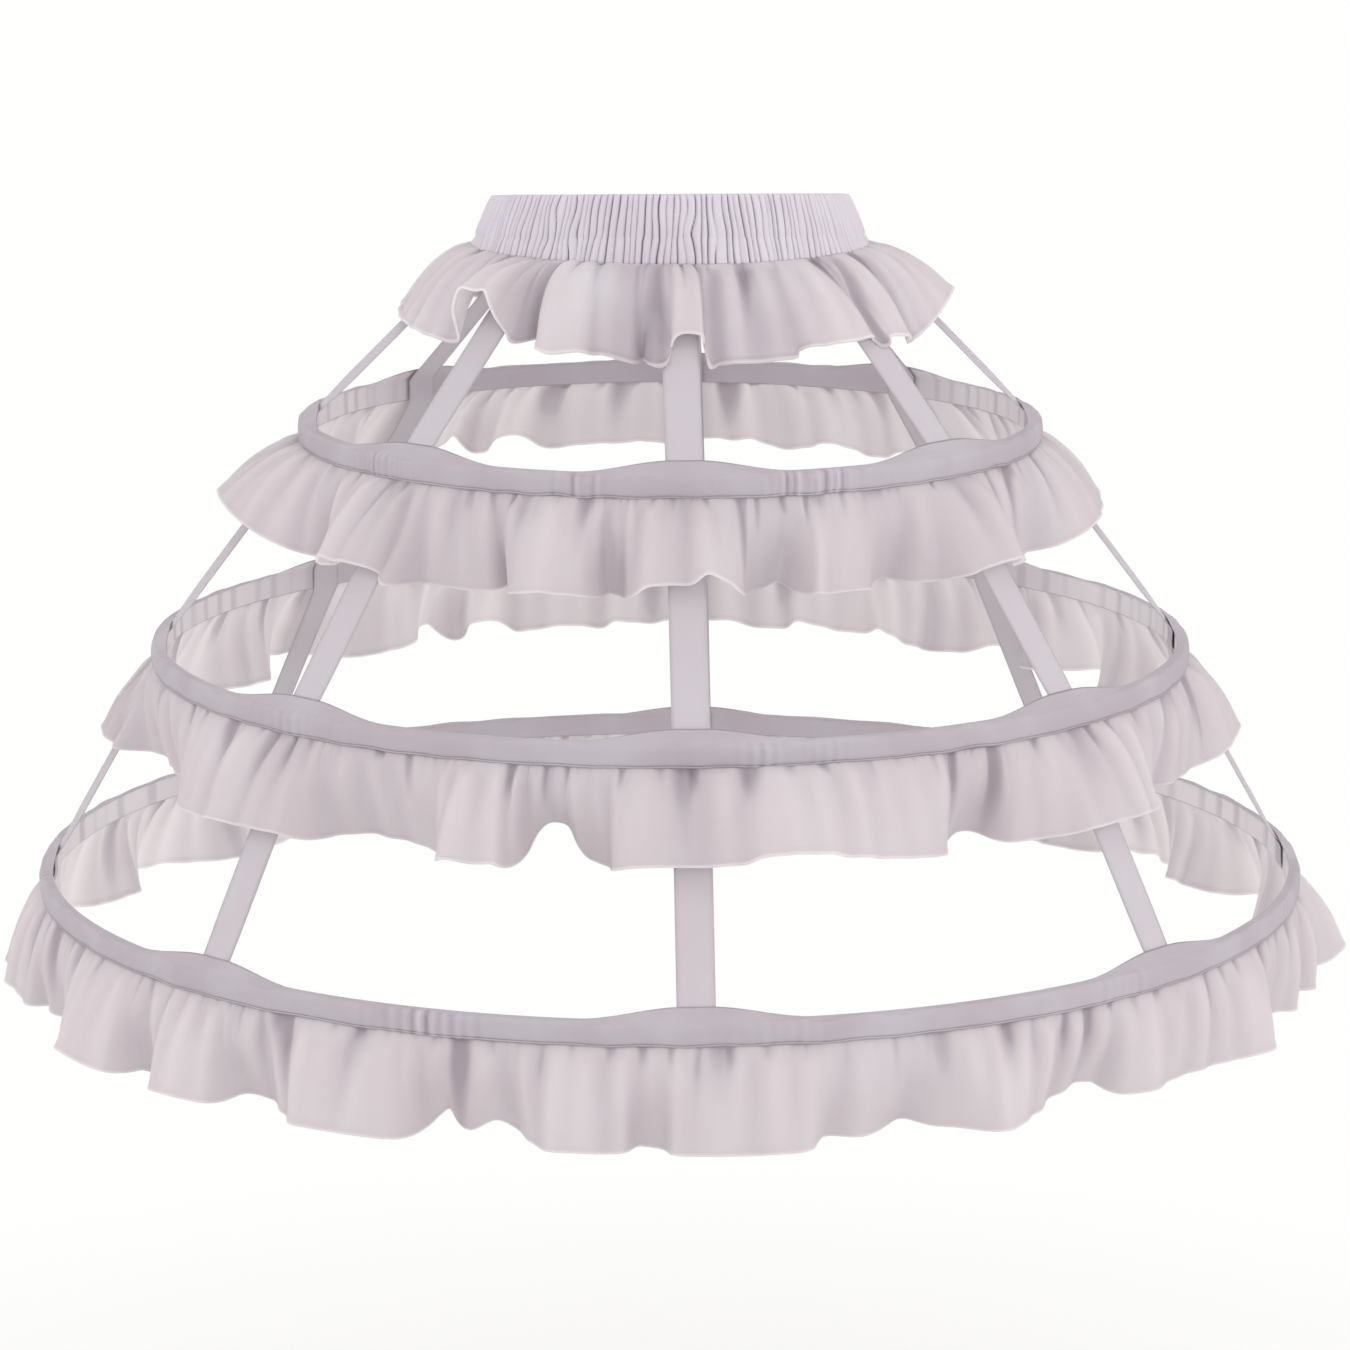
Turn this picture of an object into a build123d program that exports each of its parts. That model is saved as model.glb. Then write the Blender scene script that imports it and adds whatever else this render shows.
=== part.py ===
from build123d import *
from dataclasses import dataclass
from math import atan, cos, degrees, pi, radians, sin, sqrt
import os

# Crinoline cage: three hoops of flat boning in sewn casings hang on eight tapes from a gathered
# elastic waistband, with a frill below the waistband and below each hoop.
# Millimetres. The origin is the middle of the waist and +Z is up. The front faces -Y, and left
# and right are the viewer's. Angles run from the front towards +X, seen from above.

# Hoops: outside radius of each casing, and the drops from waist to hoop and from hoop to hoop
upper_hoop_radius = 232.0
middle_hoop_radius = 325.5
lower_hoop_radius = 398.0
upper_hoop_drop = 130.0
middle_hoop_drop = 138.0
lower_hoop_drop = 142.0

# Bone: a flat strip bent into an open ring, its ends held in a thin sleeve
bone_width = 10.0
bone_thickness = 2.5
bone_end_gap = 2.0
joiner_length = 36.0
joiner_wall = 0.5
joiner_angle = 157.5

# Casing: a sewn tunnel round the bone, drawn up into a tent at every tape
casing_wall = 1.2
casing_bevel = 1.6
tent_rise = 10.5
tent_flank = 42.0
tent_cloth = 0.9

# Tapes: evenly spaced, but the back one hangs a few degrees to the right, straight behind the front
# one as the photo sees it
back_tape_shift = 4.8
tape_width = 22.0
tape_thickness = 0.8
tape_ease = 0.3
tape_names = ("front", "front_right", "right", "back_right", "back", "back_left", "left", "front_left")

# Waistband: a gathered tube of cloth round a flat elastic, then a short yoke down to the seam
waist_radius = 110.0
waist_top = 14.0
waist_tilt = 12.0
header_height = 2.2
elastic_height = 22.0
elastic_thickness = 1.5
gathered_layer = 2.2
seam_radius = 123.0
seam_drop = 15.0
seam_dip = 14.0
yoke_thickness = 3.0
pleat_count = 104
pleat_depth = 2.2
band_steps = 48

# Frills: cut length from seam to hem, and how far inside the edge above they are sewn on
frill_cloth = 1.0
waist_frill_length = 58.0
hoop_frill_length = 60.0
waist_frill_inset = 0.5
hoop_frill_inset = 2.0
fold_spacing = 12.0

# How the frills fall, fold by fold round the cage: degrees from the front, degrees from upright at
# the hem, and length there as a share of the cut length. The front follows the photo.
waist_folds = (
    (-90, 47, 1.08), (-81, 45, 1.1), (-73, 44, 1.11), (-64, 42, 1.12), (-56, 39, 1.1), (-49, 67, 0.97),
    (-45, 76, 0.95), (-40, 59, 0.96), (-35, 31, 0.91), (-29, 44, 1.12), (-20, 44, 1.12), (-12, 46, 1.18),
    (-6, 29, 0.96), (2, 51, 1.16), (7, 43, 1.15), (14, 45, 1.18), (21.5, 46, 1.2), (27, 32, 1),
    (31, 35, 1.01), (36, 37, 1.03), (41, 36, 1.04), (46, 35, 1.02), (53, 40, 1.1), (58, 38, 1.14),
    (63, 37, 1.14), (69, 39, 1.11), (74, 44, 1.08), (82, 53, 1.05), (89, 61, 1.05), (94.5, 58, 1.06),
    (99.5, 49, 1.02), (104, 43, 0.99), (111, 50, 1.03), (117, 53, 1.05), (122.5, 46, 1), (127.5, 41, 0.96),
    (134.5, 48, 1.01), (141.5, 53, 1.04), (149, 43, 0.98), (153.5, 41, 0.96), (161, 48, 1.02),
    (168, 52, 1.04), (173, 50, 1.02), (177, 48, 1), (182.5, 49, 1.01), (188, 52, 1.04), (194, 43, 0.98),
    (198.5, 41, 0.96), (205.5, 48, 1.01), (212.5, 53, 1.04), (217, 48, 1.01), (221.5, 43, 0.97),
    (228, 46, 1), (234, 51, 1.04), (239.5, 50, 1.03), (247, 42, 0.97), (253, 45, 0.99), (259, 49, 1.05),
    (265, 48, 1.07),
)
upper_folds = (
    (-90, 57, 1.03), (-86.5, 57, 1.03), (-81, 51, 1.02), (-76, 43, 1), (-69, 30, 0.98), (-61, 7, 0.95),
    (-58, 16, 0.98), (-53.5, 38, 1.03), (-50, 45, 1.04), (-46, 46, 1.04), (-40, 15, 0.98), (-35, 12, 0.97),
    (-31, 12, 0.98), (-27, -1, 0.95), (-22.5, 26, 1), (-18.5, 32, 1.02), (-14, 27, 1), (-10, 2, 0.95),
    (-5, 39, 1), (3, 52, 1.01), (6, 37, 0.98), (10, -2, 0.93), (14, -12, 0.92), (19, 18, 0.98),
    (25.5, 12, 0.97), (29, -1, 0.95), (32, -5, 0.94), (38, 13, 0.98), (42, 37, 1.02), (45.5, 44, 1.04),
    (49, 39, 1.03), (54, 19, 0.99), (58.5, 13, 0.97), (63, 7, 0.95), (66, 13, 0.96), (70, 26, 0.98),
    (75, 36, 1), (80, 39, 1.01), (85, 41, 1.01), (90, 43, 1.02), (95, 45, 1.03), (100, 36, 1.01),
    (106.5, 14, 0.96), (111, 8, 0.95), (118, 27, 1), (123, 36, 1.02), (128, 30, 1), (133, 25, 0.98),
    (137, 31, 1), (141.5, 38, 1), (145.5, 32, 1), (150, 37, 1), (154, 41, 1), (159, 33, 0.99),
    (165, 39, 1), (170.5, 41, 1), (178, 37, 1), (183, 38, 1), (187, 37, 1), (191, 36, 1),
    (195.5, 35, 0.99), (202, 48, 1.02), (207, 34, 0.99), (211, 48, 1.01), (216, 35, 0.99),
    (220.5, 24, 0.97), (226.5, 38, 1.02), (230.5, 39, 1.02), (236, 17, 0.97), (239, 10, 0.96),
    (244, 23, 0.98), (248, 34, 1), (255, 32, 1), (259, 41, 1.02), (263, 52, 1.03),
)
middle_folds = (
    (-90, 34, 1.02), (-86, 4, 0.95), (-80, -7, 0.94), (-74.5, -6, 0.94), (-69, -5, 0.94), (-63, 14, 0.98),
    (-57.5, 27, 1.02), (-49.5, 36, 1.03), (-44.5, 37, 1.02), (-42, 30, 1), (-39, -7, 0.94),
    (-35, -14, 0.93), (-28.5, -7, 0.93), (-26, 3, 0.95), (-23.5, 30, 1.01), (-20, 31, 1.01),
    (-16.5, -8, 0.8), (-13.5, -12, 0.6), (-9, -1, 0.94), (-6, 32, 1), (-3, 37, 1.01), (3, 40, 1.03),
    (6.5, 50, 1.05), (10, 52, 1.06), (16, 41, 1.03), (22.5, 29, 1), (25, 18, 0.98), (28.5, -9, 0.94),
    (31, -16, 0.92), (35, 12, 0.96), (38.5, 20, 0.99), (42, 35, 1.03), (45, 38, 1.04), (51, 31, 1.02),
    (54, 23, 1), (58, 6, 0.96), (63, -4, 0.94), (66.5, 4, 0.95), (74, 9, 0.96), (80, 24, 1),
    (85, 32, 1.02), (89, 37, 1.03), (93, 30, 1.01), (95, 6, 0.96), (97, -2, 0.95), (99, 3, 0.96),
    (103, 23, 1), (105, 27, 1.01), (107.5, 25, 1.01), (110.5, 4, 0.95), (114, -4, 0.94), (118, 10, 0.97),
    (122, 24, 1), (130, 2, 0.96), (134.5, 21, 1), (138, 28, 1), (142, 10, 0.96), (144, 5, 0.95),
    (147, 11, 0.97), (153, 29, 1), (157, 25, 0.99), (163, 32, 1), (166, 23, 0.99), (170, 29, 1),
    (174, 32, 1), (181, 28, 0.99), (184, 29, 1), (186.5, 24, 0.99), (190.5, 26, 0.99), (195, 22, 0.98),
    (197.5, 34, 1.01), (199.5, 37, 1.01), (204, 20, 0.98), (206.5, 37, 1.01), (209, 22, 0.99),
    (211, 15, 0.97), (217, 9, 0.96), (220, 14, 0.97), (224.5, 30, 1), (227.5, 33, 1.01), (234, 4, 0.96),
    (236, -1, 0.95), (240, 3, 0.95), (244, 21, 0.99), (248, 29, 1.01), (251, 25, 1.01), (254, 6, 0.96),
    (258, -2, 0.95), (261, 8, 0.97), (266, 32, 1.01),
)
lower_folds = (
    (-90, 26, 1.03), (-88, 22, 1.02), (-84, 23, 1.03), (-77.5, 17, 1), (-75, 3, 0.97), (-73, 4, 0.96),
    (-70, -2, 0.95), (-66.5, 7, 0.97), (-60, 30, 1.03), (-55, 28, 1.03), (-52.5, 2, 0.96), (-50, 5, 0.96),
    (-47, 25, 1.03), (-45, 24, 1.02), (-43, 19, 1), (-40, -9, 0.93), (-36.5, 0, 0.95), (-32, 20, 1.02),
    (-28, 20, 1.02), (-25, 17, 1.01), (-23, -2, 0.94), (-21, -12, 0.82), (-19, -7, 0.91),
    (-15.5, -11, 0.89), (-10.5, 19, 1), (-7, 16, 0.99), (-4, 4, 0.95), (-0.5, 22, 1.01), (4, 20, 1.02),
    (8, 17, 1.01), (11, -3, 0.94), (14, -2, 0.95), (18, -13, 0.92), (22, 2, 0.96), (25, 17, 1),
    (32, -9, 0.91), (36.5, -16, 0.87), (39, 1, 0.95), (41.5, 7, 0.97), (46, 3, 0.95), (50, 5, 0.96),
    (57, 18, 1.01), (64, -9, 0.93), (68, -3, 0.95), (70.5, 6, 0.97), (75, -1, 0.95), (77.5, 11, 0.98),
    (81.5, 5, 0.96), (84, 11, 0.98), (87, 29, 1.03), (89, 34, 1.04), (93, 29, 1.03), (96, 4, 0.96),
    (98, -5, 0.95), (101, -1, 0.95), (104.5, 18, 1), (107.5, 23, 1.01), (113, -2, 0.95), (115, -7, 0.94),
    (118, -3, 0.95), (121.5, 15, 0.99), (125, 23, 1.01), (128, 20, 1), (131.5, -1, 0.95),
    (134.5, -8, 0.94), (137.5, 1, 0.96), (141, 18, 0.99), (144.5, 25, 1.02), (146.5, 21, 1.01),
    (152.5, -3, 0.95), (156, 2, 0.96), (160, 19, 1), (164, 24, 1.02), (172, -5, 0.94), (175, -1, 0.95),
    (179, 17, 0.99), (183, 23, 1.01), (187, 19, 1), (190.5, 1, 0.96), (193.5, -6, 0.94), (196.5, 2, 0.96),
    (200, 19, 1), (203.5, 23, 1.01), (205.5, 19, 1), (211, -4, 0.95), (218, 13, 0.98), (222, 3, 0.96),
    (226.5, -6, 0.94), (229.5, 3, 0.96), (233, 20, 1), (236, 25, 1.02), (238, 21, 1), (244.5, -5, 0.94),
    (247.5, 0, 0.95), (251, 16, 0.99), (254.5, 22, 1.01), (259, 4, 0.96), (262, -2, 0.95), (267, 22, 1.01),
)

# Degrees that a frill stands out beyond the tapes it lies on, and degrees that each frill bellies
# out halfway down
tape_lift = 3.0
waist_belly = 19.0
upper_belly = 13.0
middle_belly = 11.0
lower_belly = 10.0

# Clearance of every piece that lies against another
seat = 0.3

full_turn = 2 * pi

# Sizes that follow from the ones above
joiner_width = bone_width + 2 * (seat + joiner_wall)
joiner_thickness = bone_thickness + 2 * (seat + joiner_wall)
tunnel_width = joiner_width + 2 * seat
tunnel_thickness = joiner_thickness + 2 * seat
casing_width = tunnel_width + 2 * casing_wall
casing_thickness = tunnel_thickness + 2 * casing_wall
channel_height = elastic_height + 2 * seat
channel_thickness = elastic_thickness + 2 * seat
band_thickness = 2 * gathered_layer + channel_thickness


@dataclass
class Hoop:
    """One hoop: the outside radius of its casing and the height of its middle."""

    name: str
    radius: float
    height: float


upper_height = -upper_hoop_drop
middle_height = upper_height - middle_hoop_drop
lower_height = middle_height - lower_hoop_drop
hoops = (
    Hoop("upper", upper_hoop_radius, upper_height),
    Hoop("middle", middle_hoop_radius, middle_height),
    Hoop("lower", lower_hoop_radius, lower_height),
)


# Helpers


def place(angle, spot):
    """The point at this angle from the front, with its distance from the axis and its height."""
    radius, height = spot
    return Vector(radius * sin(angle), -radius * cos(angle), height)


def turned(shape, angle):
    """A shape drawn in the XZ plane, turned so that +X comes to this angle from the front."""
    return Rot(0, 0, degrees(angle) - 90) * shape


def profile(points):
    """A flat face in the XZ plane through points of radius and height."""
    return Plane.XZ * make_face(Polyline(*points, close=True))


def box_section(radius, height, thickness, width):
    """The four corners of an upright rectangle whose outer side lies at this radius."""
    inner = radius - thickness
    half = width / 2
    return [(inner, height - half), (inner, height + half), (radius, height + half), (radius, height - half)]


def ring_solid(rows, angles):
    """A closed ring of flat triangles, whose section has one corner on each row.

    A row gives the radius and height at an angle, and neighbouring rows are joined all round. The
    second half of the rows comes back behind the first, and its patches are cut along the same
    diagonals, so that the two sides of a thin wall stay the same distance apart.
    """
    rings = [[place(angle, row(angle)) for angle in angles] for row in rows]
    sides = []
    for turn, (one, other) in enumerate(zip(rings, rings[1:] + rings[:1])):
        for index in range(len(angles)):
            corners = [one[index - 1], one[index], other[index], other[index - 1]]
            if turn >= len(rows) // 2:
                corners = corners[1:] + corners[:1]
            sides.append(Face(Wire.make_polygon(corners[:3])))
            sides.append(Face(Wire.make_polygon([corners[0], *corners[2:]])))
    return Solid(Shell(sides))


def even_angles(count):
    """Angles that divide the full turn evenly."""
    return [full_turn * index / count for index in range(count)]


tape_angles = even_angles(len(tape_names))
tape_angles[tape_names.index("back")] -= radians(back_tape_shift)


def clear_inside(radius):
    """How far out a flat tape can lie inside a round wall and still be seated clear of it."""
    return sqrt(radius**2 - (tape_width / 2) ** 2) - seat


# Waistband


def top_height(angle):
    """Height of the waistband's top edge, which rises to the front."""
    return waist_top + waist_tilt * cos(angle)


def seam_height(angle):
    """Height of the seam below the yoke, which dips at the back."""
    return -seam_drop - seam_dip * ((1 - cos(angle)) / 2) ** 3


def band_point(angle, height, inwards):
    """Radius and height of a point this far inside the band's outer cone."""
    share = (top_height(angle) - height) / (top_height(angle) - seam_height(angle))
    return waist_radius + (seam_radius - waist_radius) * share - inwards, height


def channel_row(below_top, inwards):
    """A row that runs this far below the top edge and this far inside the outer cone."""
    return lambda angle: band_point(angle, top_height(angle) - below_top, inwards)


def pleated(row):
    """The row with the ridges and valleys of the gathers, more and less deep round the waist."""

    def gathered(angle):
        radius, height = row(angle)
        depth = pleat_depth / 2 * (0.85 + 0.15 * sin(7 * angle))
        return radius + depth * cos(pleat_count * angle), height

    return gathered


def elastic_ring(gap):
    """The elastic's ring, grown by this gap all round."""
    above = header_height + seat - gap
    below = header_height + seat + elastic_height + gap
    outside = gathered_layer + seat - gap
    inside = gathered_layer + seat + elastic_thickness + gap
    corners = ((above, outside), (below, outside), (below, inside), (above, inside))
    return ring_solid([channel_row(*corner) for corner in corners], even_angles(band_steps))


def waistband():
    """The gathered band with its channel for the elastic and its yoke."""
    rows = [
        channel_row(0, 0),
        lambda angle: band_point(angle, seam_height(angle), 0),
        lambda angle: band_point(angle, seam_height(angle), yoke_thickness),
        channel_row(header_height + channel_height + gathered_layer, band_thickness),
        channel_row(0, band_thickness),
    ]
    ridges = [(index + 0.25 * sin(1.9 * index)) * pi / pleat_count for index in range(2 * pleat_count)]
    return ring_solid([pleated(row) for row in rows], ridges) - elastic_ring(seat)


# Tapes


def hoop_top(hoop):
    """Height of the casing's upper edge between the tents."""
    return hoop.height + casing_width / 2


def hoop_foot(hoop):
    """Height of the casing's lower edge."""
    return hoop.height - casing_width / 2


def tape_start(angle):
    """Radius and height of a tape's top end, sewn in under the yoke behind the waist frill."""
    reach = tape_width / 2 / seam_radius
    lowest = min(seam_height(angle - reach), seam_height(angle), seam_height(angle + reach))
    return clear_inside(seam_radius - waist_frill_inset - frill_cloth) - tape_ease, lowest - seat


def tape_radius(hoop):
    """Radius of a tape's outer face where it lies against the inside of the casing."""
    return clear_inside(hoop.radius - casing_thickness)


def tape_lean(index, angle):
    """The slope of the run of tape above a hoop, as change of radius for each unit of height."""
    hoop = hoops[index]
    if index == 0:
        start, height = tape_start(angle)
    else:
        start, height = tape_radius(hoops[index - 1]), hoop_foot(hoops[index - 1])
    return (tape_radius(hoop) - start) / (height - hoop_top(hoop))


def tape(angle):
    """One flat tape from the yoke down to the lower hoop, bent where it lies behind each casing."""
    face = [tape_start(angle)]
    for hoop in hoops:
        face.append((tape_radius(hoop), hoop_top(hoop)))
        face.append((tape_radius(hoop), hoop_foot(hoop)))
    back = [(radius - tape_thickness, height) for radius, height in reversed(face)]
    return turned(extrude(profile(face + back), tape_width / 2, both=True), angle)


# Hoops


def bone(hoop):
    """The open ring of boning, with its two ends apart inside the joiner."""
    radius = hoop.radius - casing_wall - 2 * seat - joiner_wall
    section = profile(box_section(radius, hoop.height, bone_thickness, bone_width))
    opening = bone_end_gap / radius
    ring = revolve(section, Axis.Z, 360 - degrees(opening))
    return turned(ring, radians(joiner_angle) + opening / 2)


def joiner(hoop):
    """The curved sleeve over both ends of the bone."""
    radius = hoop.radius - casing_wall - seat
    section = profile(box_section(radius, hoop.height, joiner_thickness, joiner_width))
    hole_radius = radius - joiner_wall
    hole = box_section(hole_radius, hoop.height, bone_thickness + 2 * seat, bone_width + 2 * seat)
    span = joiner_length / radius
    sleeve = revolve(section - profile(hole), Axis.Z, degrees(span))
    return turned(sleeve, radians(joiner_angle) - span / 2)


def tent(hoop, lean):
    """The casing drawn up on the front of one tape, peaked over the tape and falling away beside it."""
    foot = hoop_top(hoop) - casing_wall / 2
    peak = hoop_top(hoop) + tent_rise
    outer_foot = hoop.radius - casing_bevel - tent_cloth
    inner_peak = hoop.radius - casing_thickness - lean * tent_rise
    sheet = profile(
        [(outer_foot, foot), (inner_peak, peak), (inner_peak + tent_cloth, peak), (outer_foot + tent_cloth, foot)]
    )
    shoulder = tape_width / 2
    edge = shoulder + tent_flank
    span = 2.2 * edge / hoop.radius
    cone = Rot(0, 0, -degrees(span) / 2) * revolve(sheet, Axis.Z, degrees(span))
    outline = [
        Line((-edge, foot), (edge, foot)),
        Spline((edge, foot), (shoulder, peak), tangents=[(-1, 0), (-1, 0)]),
        Line((shoulder, peak), (-shoulder, peak)),
        Spline((-shoulder, peak), (-edge, foot), tangents=[(-1, 0), (-1, 0)]),
    ]
    front = Plane.YZ.offset(inner_peak - edge) * make_face(outline)
    return cone & extrude(front, hoop.radius - inner_peak + edge)


def casing(index):
    """The tunnel of one hoop with its eight tents."""
    hoop = hoops[index]
    half = casing_width / 2
    inner = hoop.radius - casing_thickness
    corner = hoop.radius - casing_bevel
    section = [
        (inner, hoop.height - half),
        (inner, hoop.height + half),
        (corner, hoop.height + half),
        (hoop.radius, hoop.height + half - casing_bevel),
        (hoop.radius, hoop.height - half + casing_bevel),
        (corner, hoop.height - half),
    ]
    tube = revolve(profile(section), Axis.Z)
    tents = [turned(tent(hoop, tape_lean(index, angle)), angle) for angle in tape_angles]
    tunnel = profile(box_section(hoop.radius - casing_wall, hoop.height, tunnel_thickness, tunnel_width))
    return tube + tents - revolve(tunnel, Axis.Z)


# Frills


@dataclass
class Frill:
    """A gathered strip: its folds, how it bellies out, its cut length and its seam.

    The seam gives the radius and height at an angle, and rest the degrees from upright at which
    the frill clears the tapes, or None where it lies on none.
    """

    folds: tuple
    belly: float
    length: float
    seam: object
    rest: float

    def fold_at(self, angle):
        """Degrees from upright and share of the length, between the two folds beside this angle."""
        for one, other in zip(self.folds, self.folds[1:] + self.folds[:1]):
            offset = (degrees(angle) - one[0]) % 360
            span = (other[0] - one[0]) % 360
            if offset <= span:
                share = offset / span
                return one[1] + (other[1] - one[1]) * share, one[2] + (other[2] - one[2]) * share

    def tape_edges(self):
        """Angles of each tape's two edges and middle, where the frill has to clear the tape."""
        if self.rest is None:
            return []
        reach = (tape_width / 2 + 3) / self.seam(0)[0]
        return [angle + offset for angle in tape_angles for offset in (-reach, 0, reach)]

    def angles(self):
        """Angles of the folds and tapes all round, without the folds that a tape's edge is close to."""
        edges = self.tape_edges()
        spacing = fold_spacing / self.seam(0)[0]
        ring = [angle % full_turn for angle in edges]
        for fold in self.folds:
            angle = radians(fold[0])
            beside = [(angle - edge + pi) % full_turn - pi for edge in edges]
            if all(abs(gap) > spacing for gap in beside):
                ring.append(angle % full_turn)
        return sorted(ring)

    def section(self, angle):
        """Radius and height of the seam, of the middle and of the hem at this angle."""
        fall, share = self.fold_at(angle)
        if any(abs((angle - edge + pi) % full_turn - pi) < 0.001 for edge in self.tape_edges()):
            fall = max(fall, self.rest)
        middle = radians(0.83 * fall + self.belly)
        hem = radians(fall)
        radius, height = self.seam(angle)
        half = self.length * (1 + share) / 4
        whole = self.length * share
        return (
            (radius, height),
            (radius + half * sin(middle), height - half * cos(middle)),
            (radius + whole * sin(hem), height - whole * cos(hem)),
        )

    def solid(self):
        """The frill's cloth, with its inner side one thickness behind the outer one.

        Where a fold runs steeply inwards the step behind it is longer, so the wall stays as thick.
        """
        angles = self.angles()
        fronts = [self.section(angle) for angle in angles]
        rows = {}
        for index, (angle, front) in enumerate(zip(angles, fronts)):
            steep = 0
            for side, beside in ((index - 1, index), (index, (index + 1) % len(angles))):
                arc = ((angles[beside] - angles[side]) % full_turn) * front[2][0]
                steep = max(steep, abs(fronts[beside][2][0] - fronts[side][2][0]) / arc)
            cloth = frill_cloth * min(sqrt(1 + steep**2), 2)
            seam, middle, hem = front
            upper_step = step_behind(seam, middle, frill_cloth)
            lower_step = step_behind(seam, hem, cloth)
            hem_step = step_behind(middle, hem, cloth)
            inside = [moved(hem, hem_step), moved(middle, lower_step), moved(seam, upper_step)]
            rows[angle] = [*front, *inside]
        return ring_solid([lambda angle, row=row: rows[angle][row] for row in range(6)], angles)


def step_behind(start, end, cloth):
    """The step to the inside of a run from start to end, square to it and this long."""
    along, down = end[0] - start[0], end[1] - start[1]
    run = sqrt(along**2 + down**2)
    return cloth * down / run, -cloth * along / run


def moved(spot, step):
    """A spot of radius and height moved by a step."""
    return spot[0] + step[0], spot[1] + step[1]


def on_tape(index):
    """Degrees from upright at which a frill clears the most sloping tape above a hoop."""
    return degrees(atan(tape_lean(index, pi))) + tape_lift


def waist_seam(angle):
    """Radius and height of the seam of the waist frill, which follows the dip of the yoke."""
    return seam_radius - waist_frill_inset, seam_height(angle) - seat


def waist_frill():
    """The frill below the yoke."""
    return Frill(waist_folds, waist_belly, waist_frill_length, waist_seam, on_tape(0)).solid()


def hoop_frill(index):
    """The frill below a hoop, sewn just inside the casing's lower bevel."""
    hoop = hoops[index]
    seam = hoop.radius - hoop_frill_inset, hoop_foot(hoop) - seat
    folds = (upper_folds, middle_folds, lower_folds)[index]
    belly = (upper_belly, middle_belly, lower_belly)[index]
    rest = on_tape(index + 1) if index < 2 else None
    return Frill(folds, belly, hoop_frill_length, lambda angle: seam, rest).solid()


# Every piece in its own file


pieces = {
    "waistband": waistband(),
    "waist_elastic": elastic_ring(0),
    "waist_frill": waist_frill(),
}
for index, hoop in enumerate(hoops):
    pieces[hoop.name + "_casing"] = casing(index)
    pieces[hoop.name + "_bone"] = bone(hoop)
    pieces[hoop.name + "_joiner"] = joiner(hoop)
    pieces[hoop.name + "_frill"] = hoop_frill(index)
for name, angle in zip(tape_names, tape_angles):
    pieces[name + "_tape"] = tape(angle)

os.makedirs("parts", exist_ok=True)
for name, piece in pieces.items():
    export_step(piece, "parts/" + name + ".step")
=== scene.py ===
# %% [markdown]
# # A crinoline cage in white cloth
#
# Three springy hoops run through sewn cloth casings and hang on eight flat tapes from a gathered
# elastic waistband, with a frill under the waist and under each hoop. The measured solids come from
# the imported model, which is loaded first and never moved. Everything here is in its metres and its
# frame: +Z is up, the front faces -Y, and angles run from the front towards +X.

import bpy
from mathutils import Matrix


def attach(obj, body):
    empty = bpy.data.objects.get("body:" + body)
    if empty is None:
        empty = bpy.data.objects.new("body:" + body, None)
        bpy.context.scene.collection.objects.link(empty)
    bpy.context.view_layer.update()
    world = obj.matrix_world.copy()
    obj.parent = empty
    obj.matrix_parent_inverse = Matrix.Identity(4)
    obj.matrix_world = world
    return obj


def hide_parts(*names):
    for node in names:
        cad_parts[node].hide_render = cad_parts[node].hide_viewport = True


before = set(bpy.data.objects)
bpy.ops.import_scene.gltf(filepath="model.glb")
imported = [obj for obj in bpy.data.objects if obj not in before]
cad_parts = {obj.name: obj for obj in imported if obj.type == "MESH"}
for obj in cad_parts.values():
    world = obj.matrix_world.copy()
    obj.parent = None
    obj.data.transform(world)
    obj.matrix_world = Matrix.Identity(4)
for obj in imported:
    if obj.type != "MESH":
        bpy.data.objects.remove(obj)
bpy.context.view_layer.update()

# %% [markdown]
# ## Sizes
#
# Each cloth piece has to lie where its solid lies, so the sizes that built the solids are repeated
# here in metres. Reading them off the solids would also work, but written out they explain
# themselves.

# %% The sizes of the cage
import math

import bpy
import numpy as np

mm = 0.001
full_turn = 2 * math.pi
hoop_names = ("upper", "middle", "lower")
hoop_radius = {"upper": 232.0 * mm, "middle": 325.5 * mm, "lower": 398.0 * mm}
hoop_height = {"upper": -130.0 * mm, "middle": -268.0 * mm, "lower": -410.0 * mm}
casing_width = 14.6 * mm
casing_thickness = 7.1 * mm
tent_rise = 6.5 * mm
tape_names = ("front", "front_right", "right", "back_right", "back", "back_left", "left", "front_left")
back_tape_shift = math.radians(4.8)
tape_angles = np.arange(8) * full_turn / 8
tape_angles[tape_names.index("back")] -= back_tape_shift
tape_width = 22.0 * mm
tape_thickness = 0.8 * mm
waist_radius = 110.0 * mm
seam_radius = 123.0 * mm
yoke_inside = 121.5 * mm
band_top = 14.0 * mm
band_rise = 12.0 * mm
seam_level = -15.0 * mm
seam_dip = 14.0 * mm
sewn_gap = 0.3 * mm
frill_length = {"waist": 58.0 * mm, "upper": 60.0 * mm, "middle": 60.0 * mm, "lower": 60.0 * mm}
print("Hoops:", hoop_radius, "at", hoop_height)


# %% [markdown]
# ## Working on whole arrays
#
# Cloth is a surface, so each piece is a function of two parameters: how far round the cage, and how
# far along the cloth. The functions below take whole arrays of both and give whole arrays of
# points, which is short to write and quick to run.

# %% Points, steps and ripples
def around(angle, radius, height):
    """Points at an angle from the front: x is r sin a, y is -r cos a, and z is the height."""
    angle, radius, height = np.broadcast_arrays(angle, radius, height)
    return np.stack([radius * np.sin(angle), -radius * np.cos(angle), height], axis=-1)


def step(value, low, high):
    """Climbs smoothly from 0 at low to 1 at high, as 3 t squared less 2 t cubed."""
    share = np.clip((value - low) / (high - low), 0, 1)
    return share * share * (3 - 2 * share)


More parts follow.
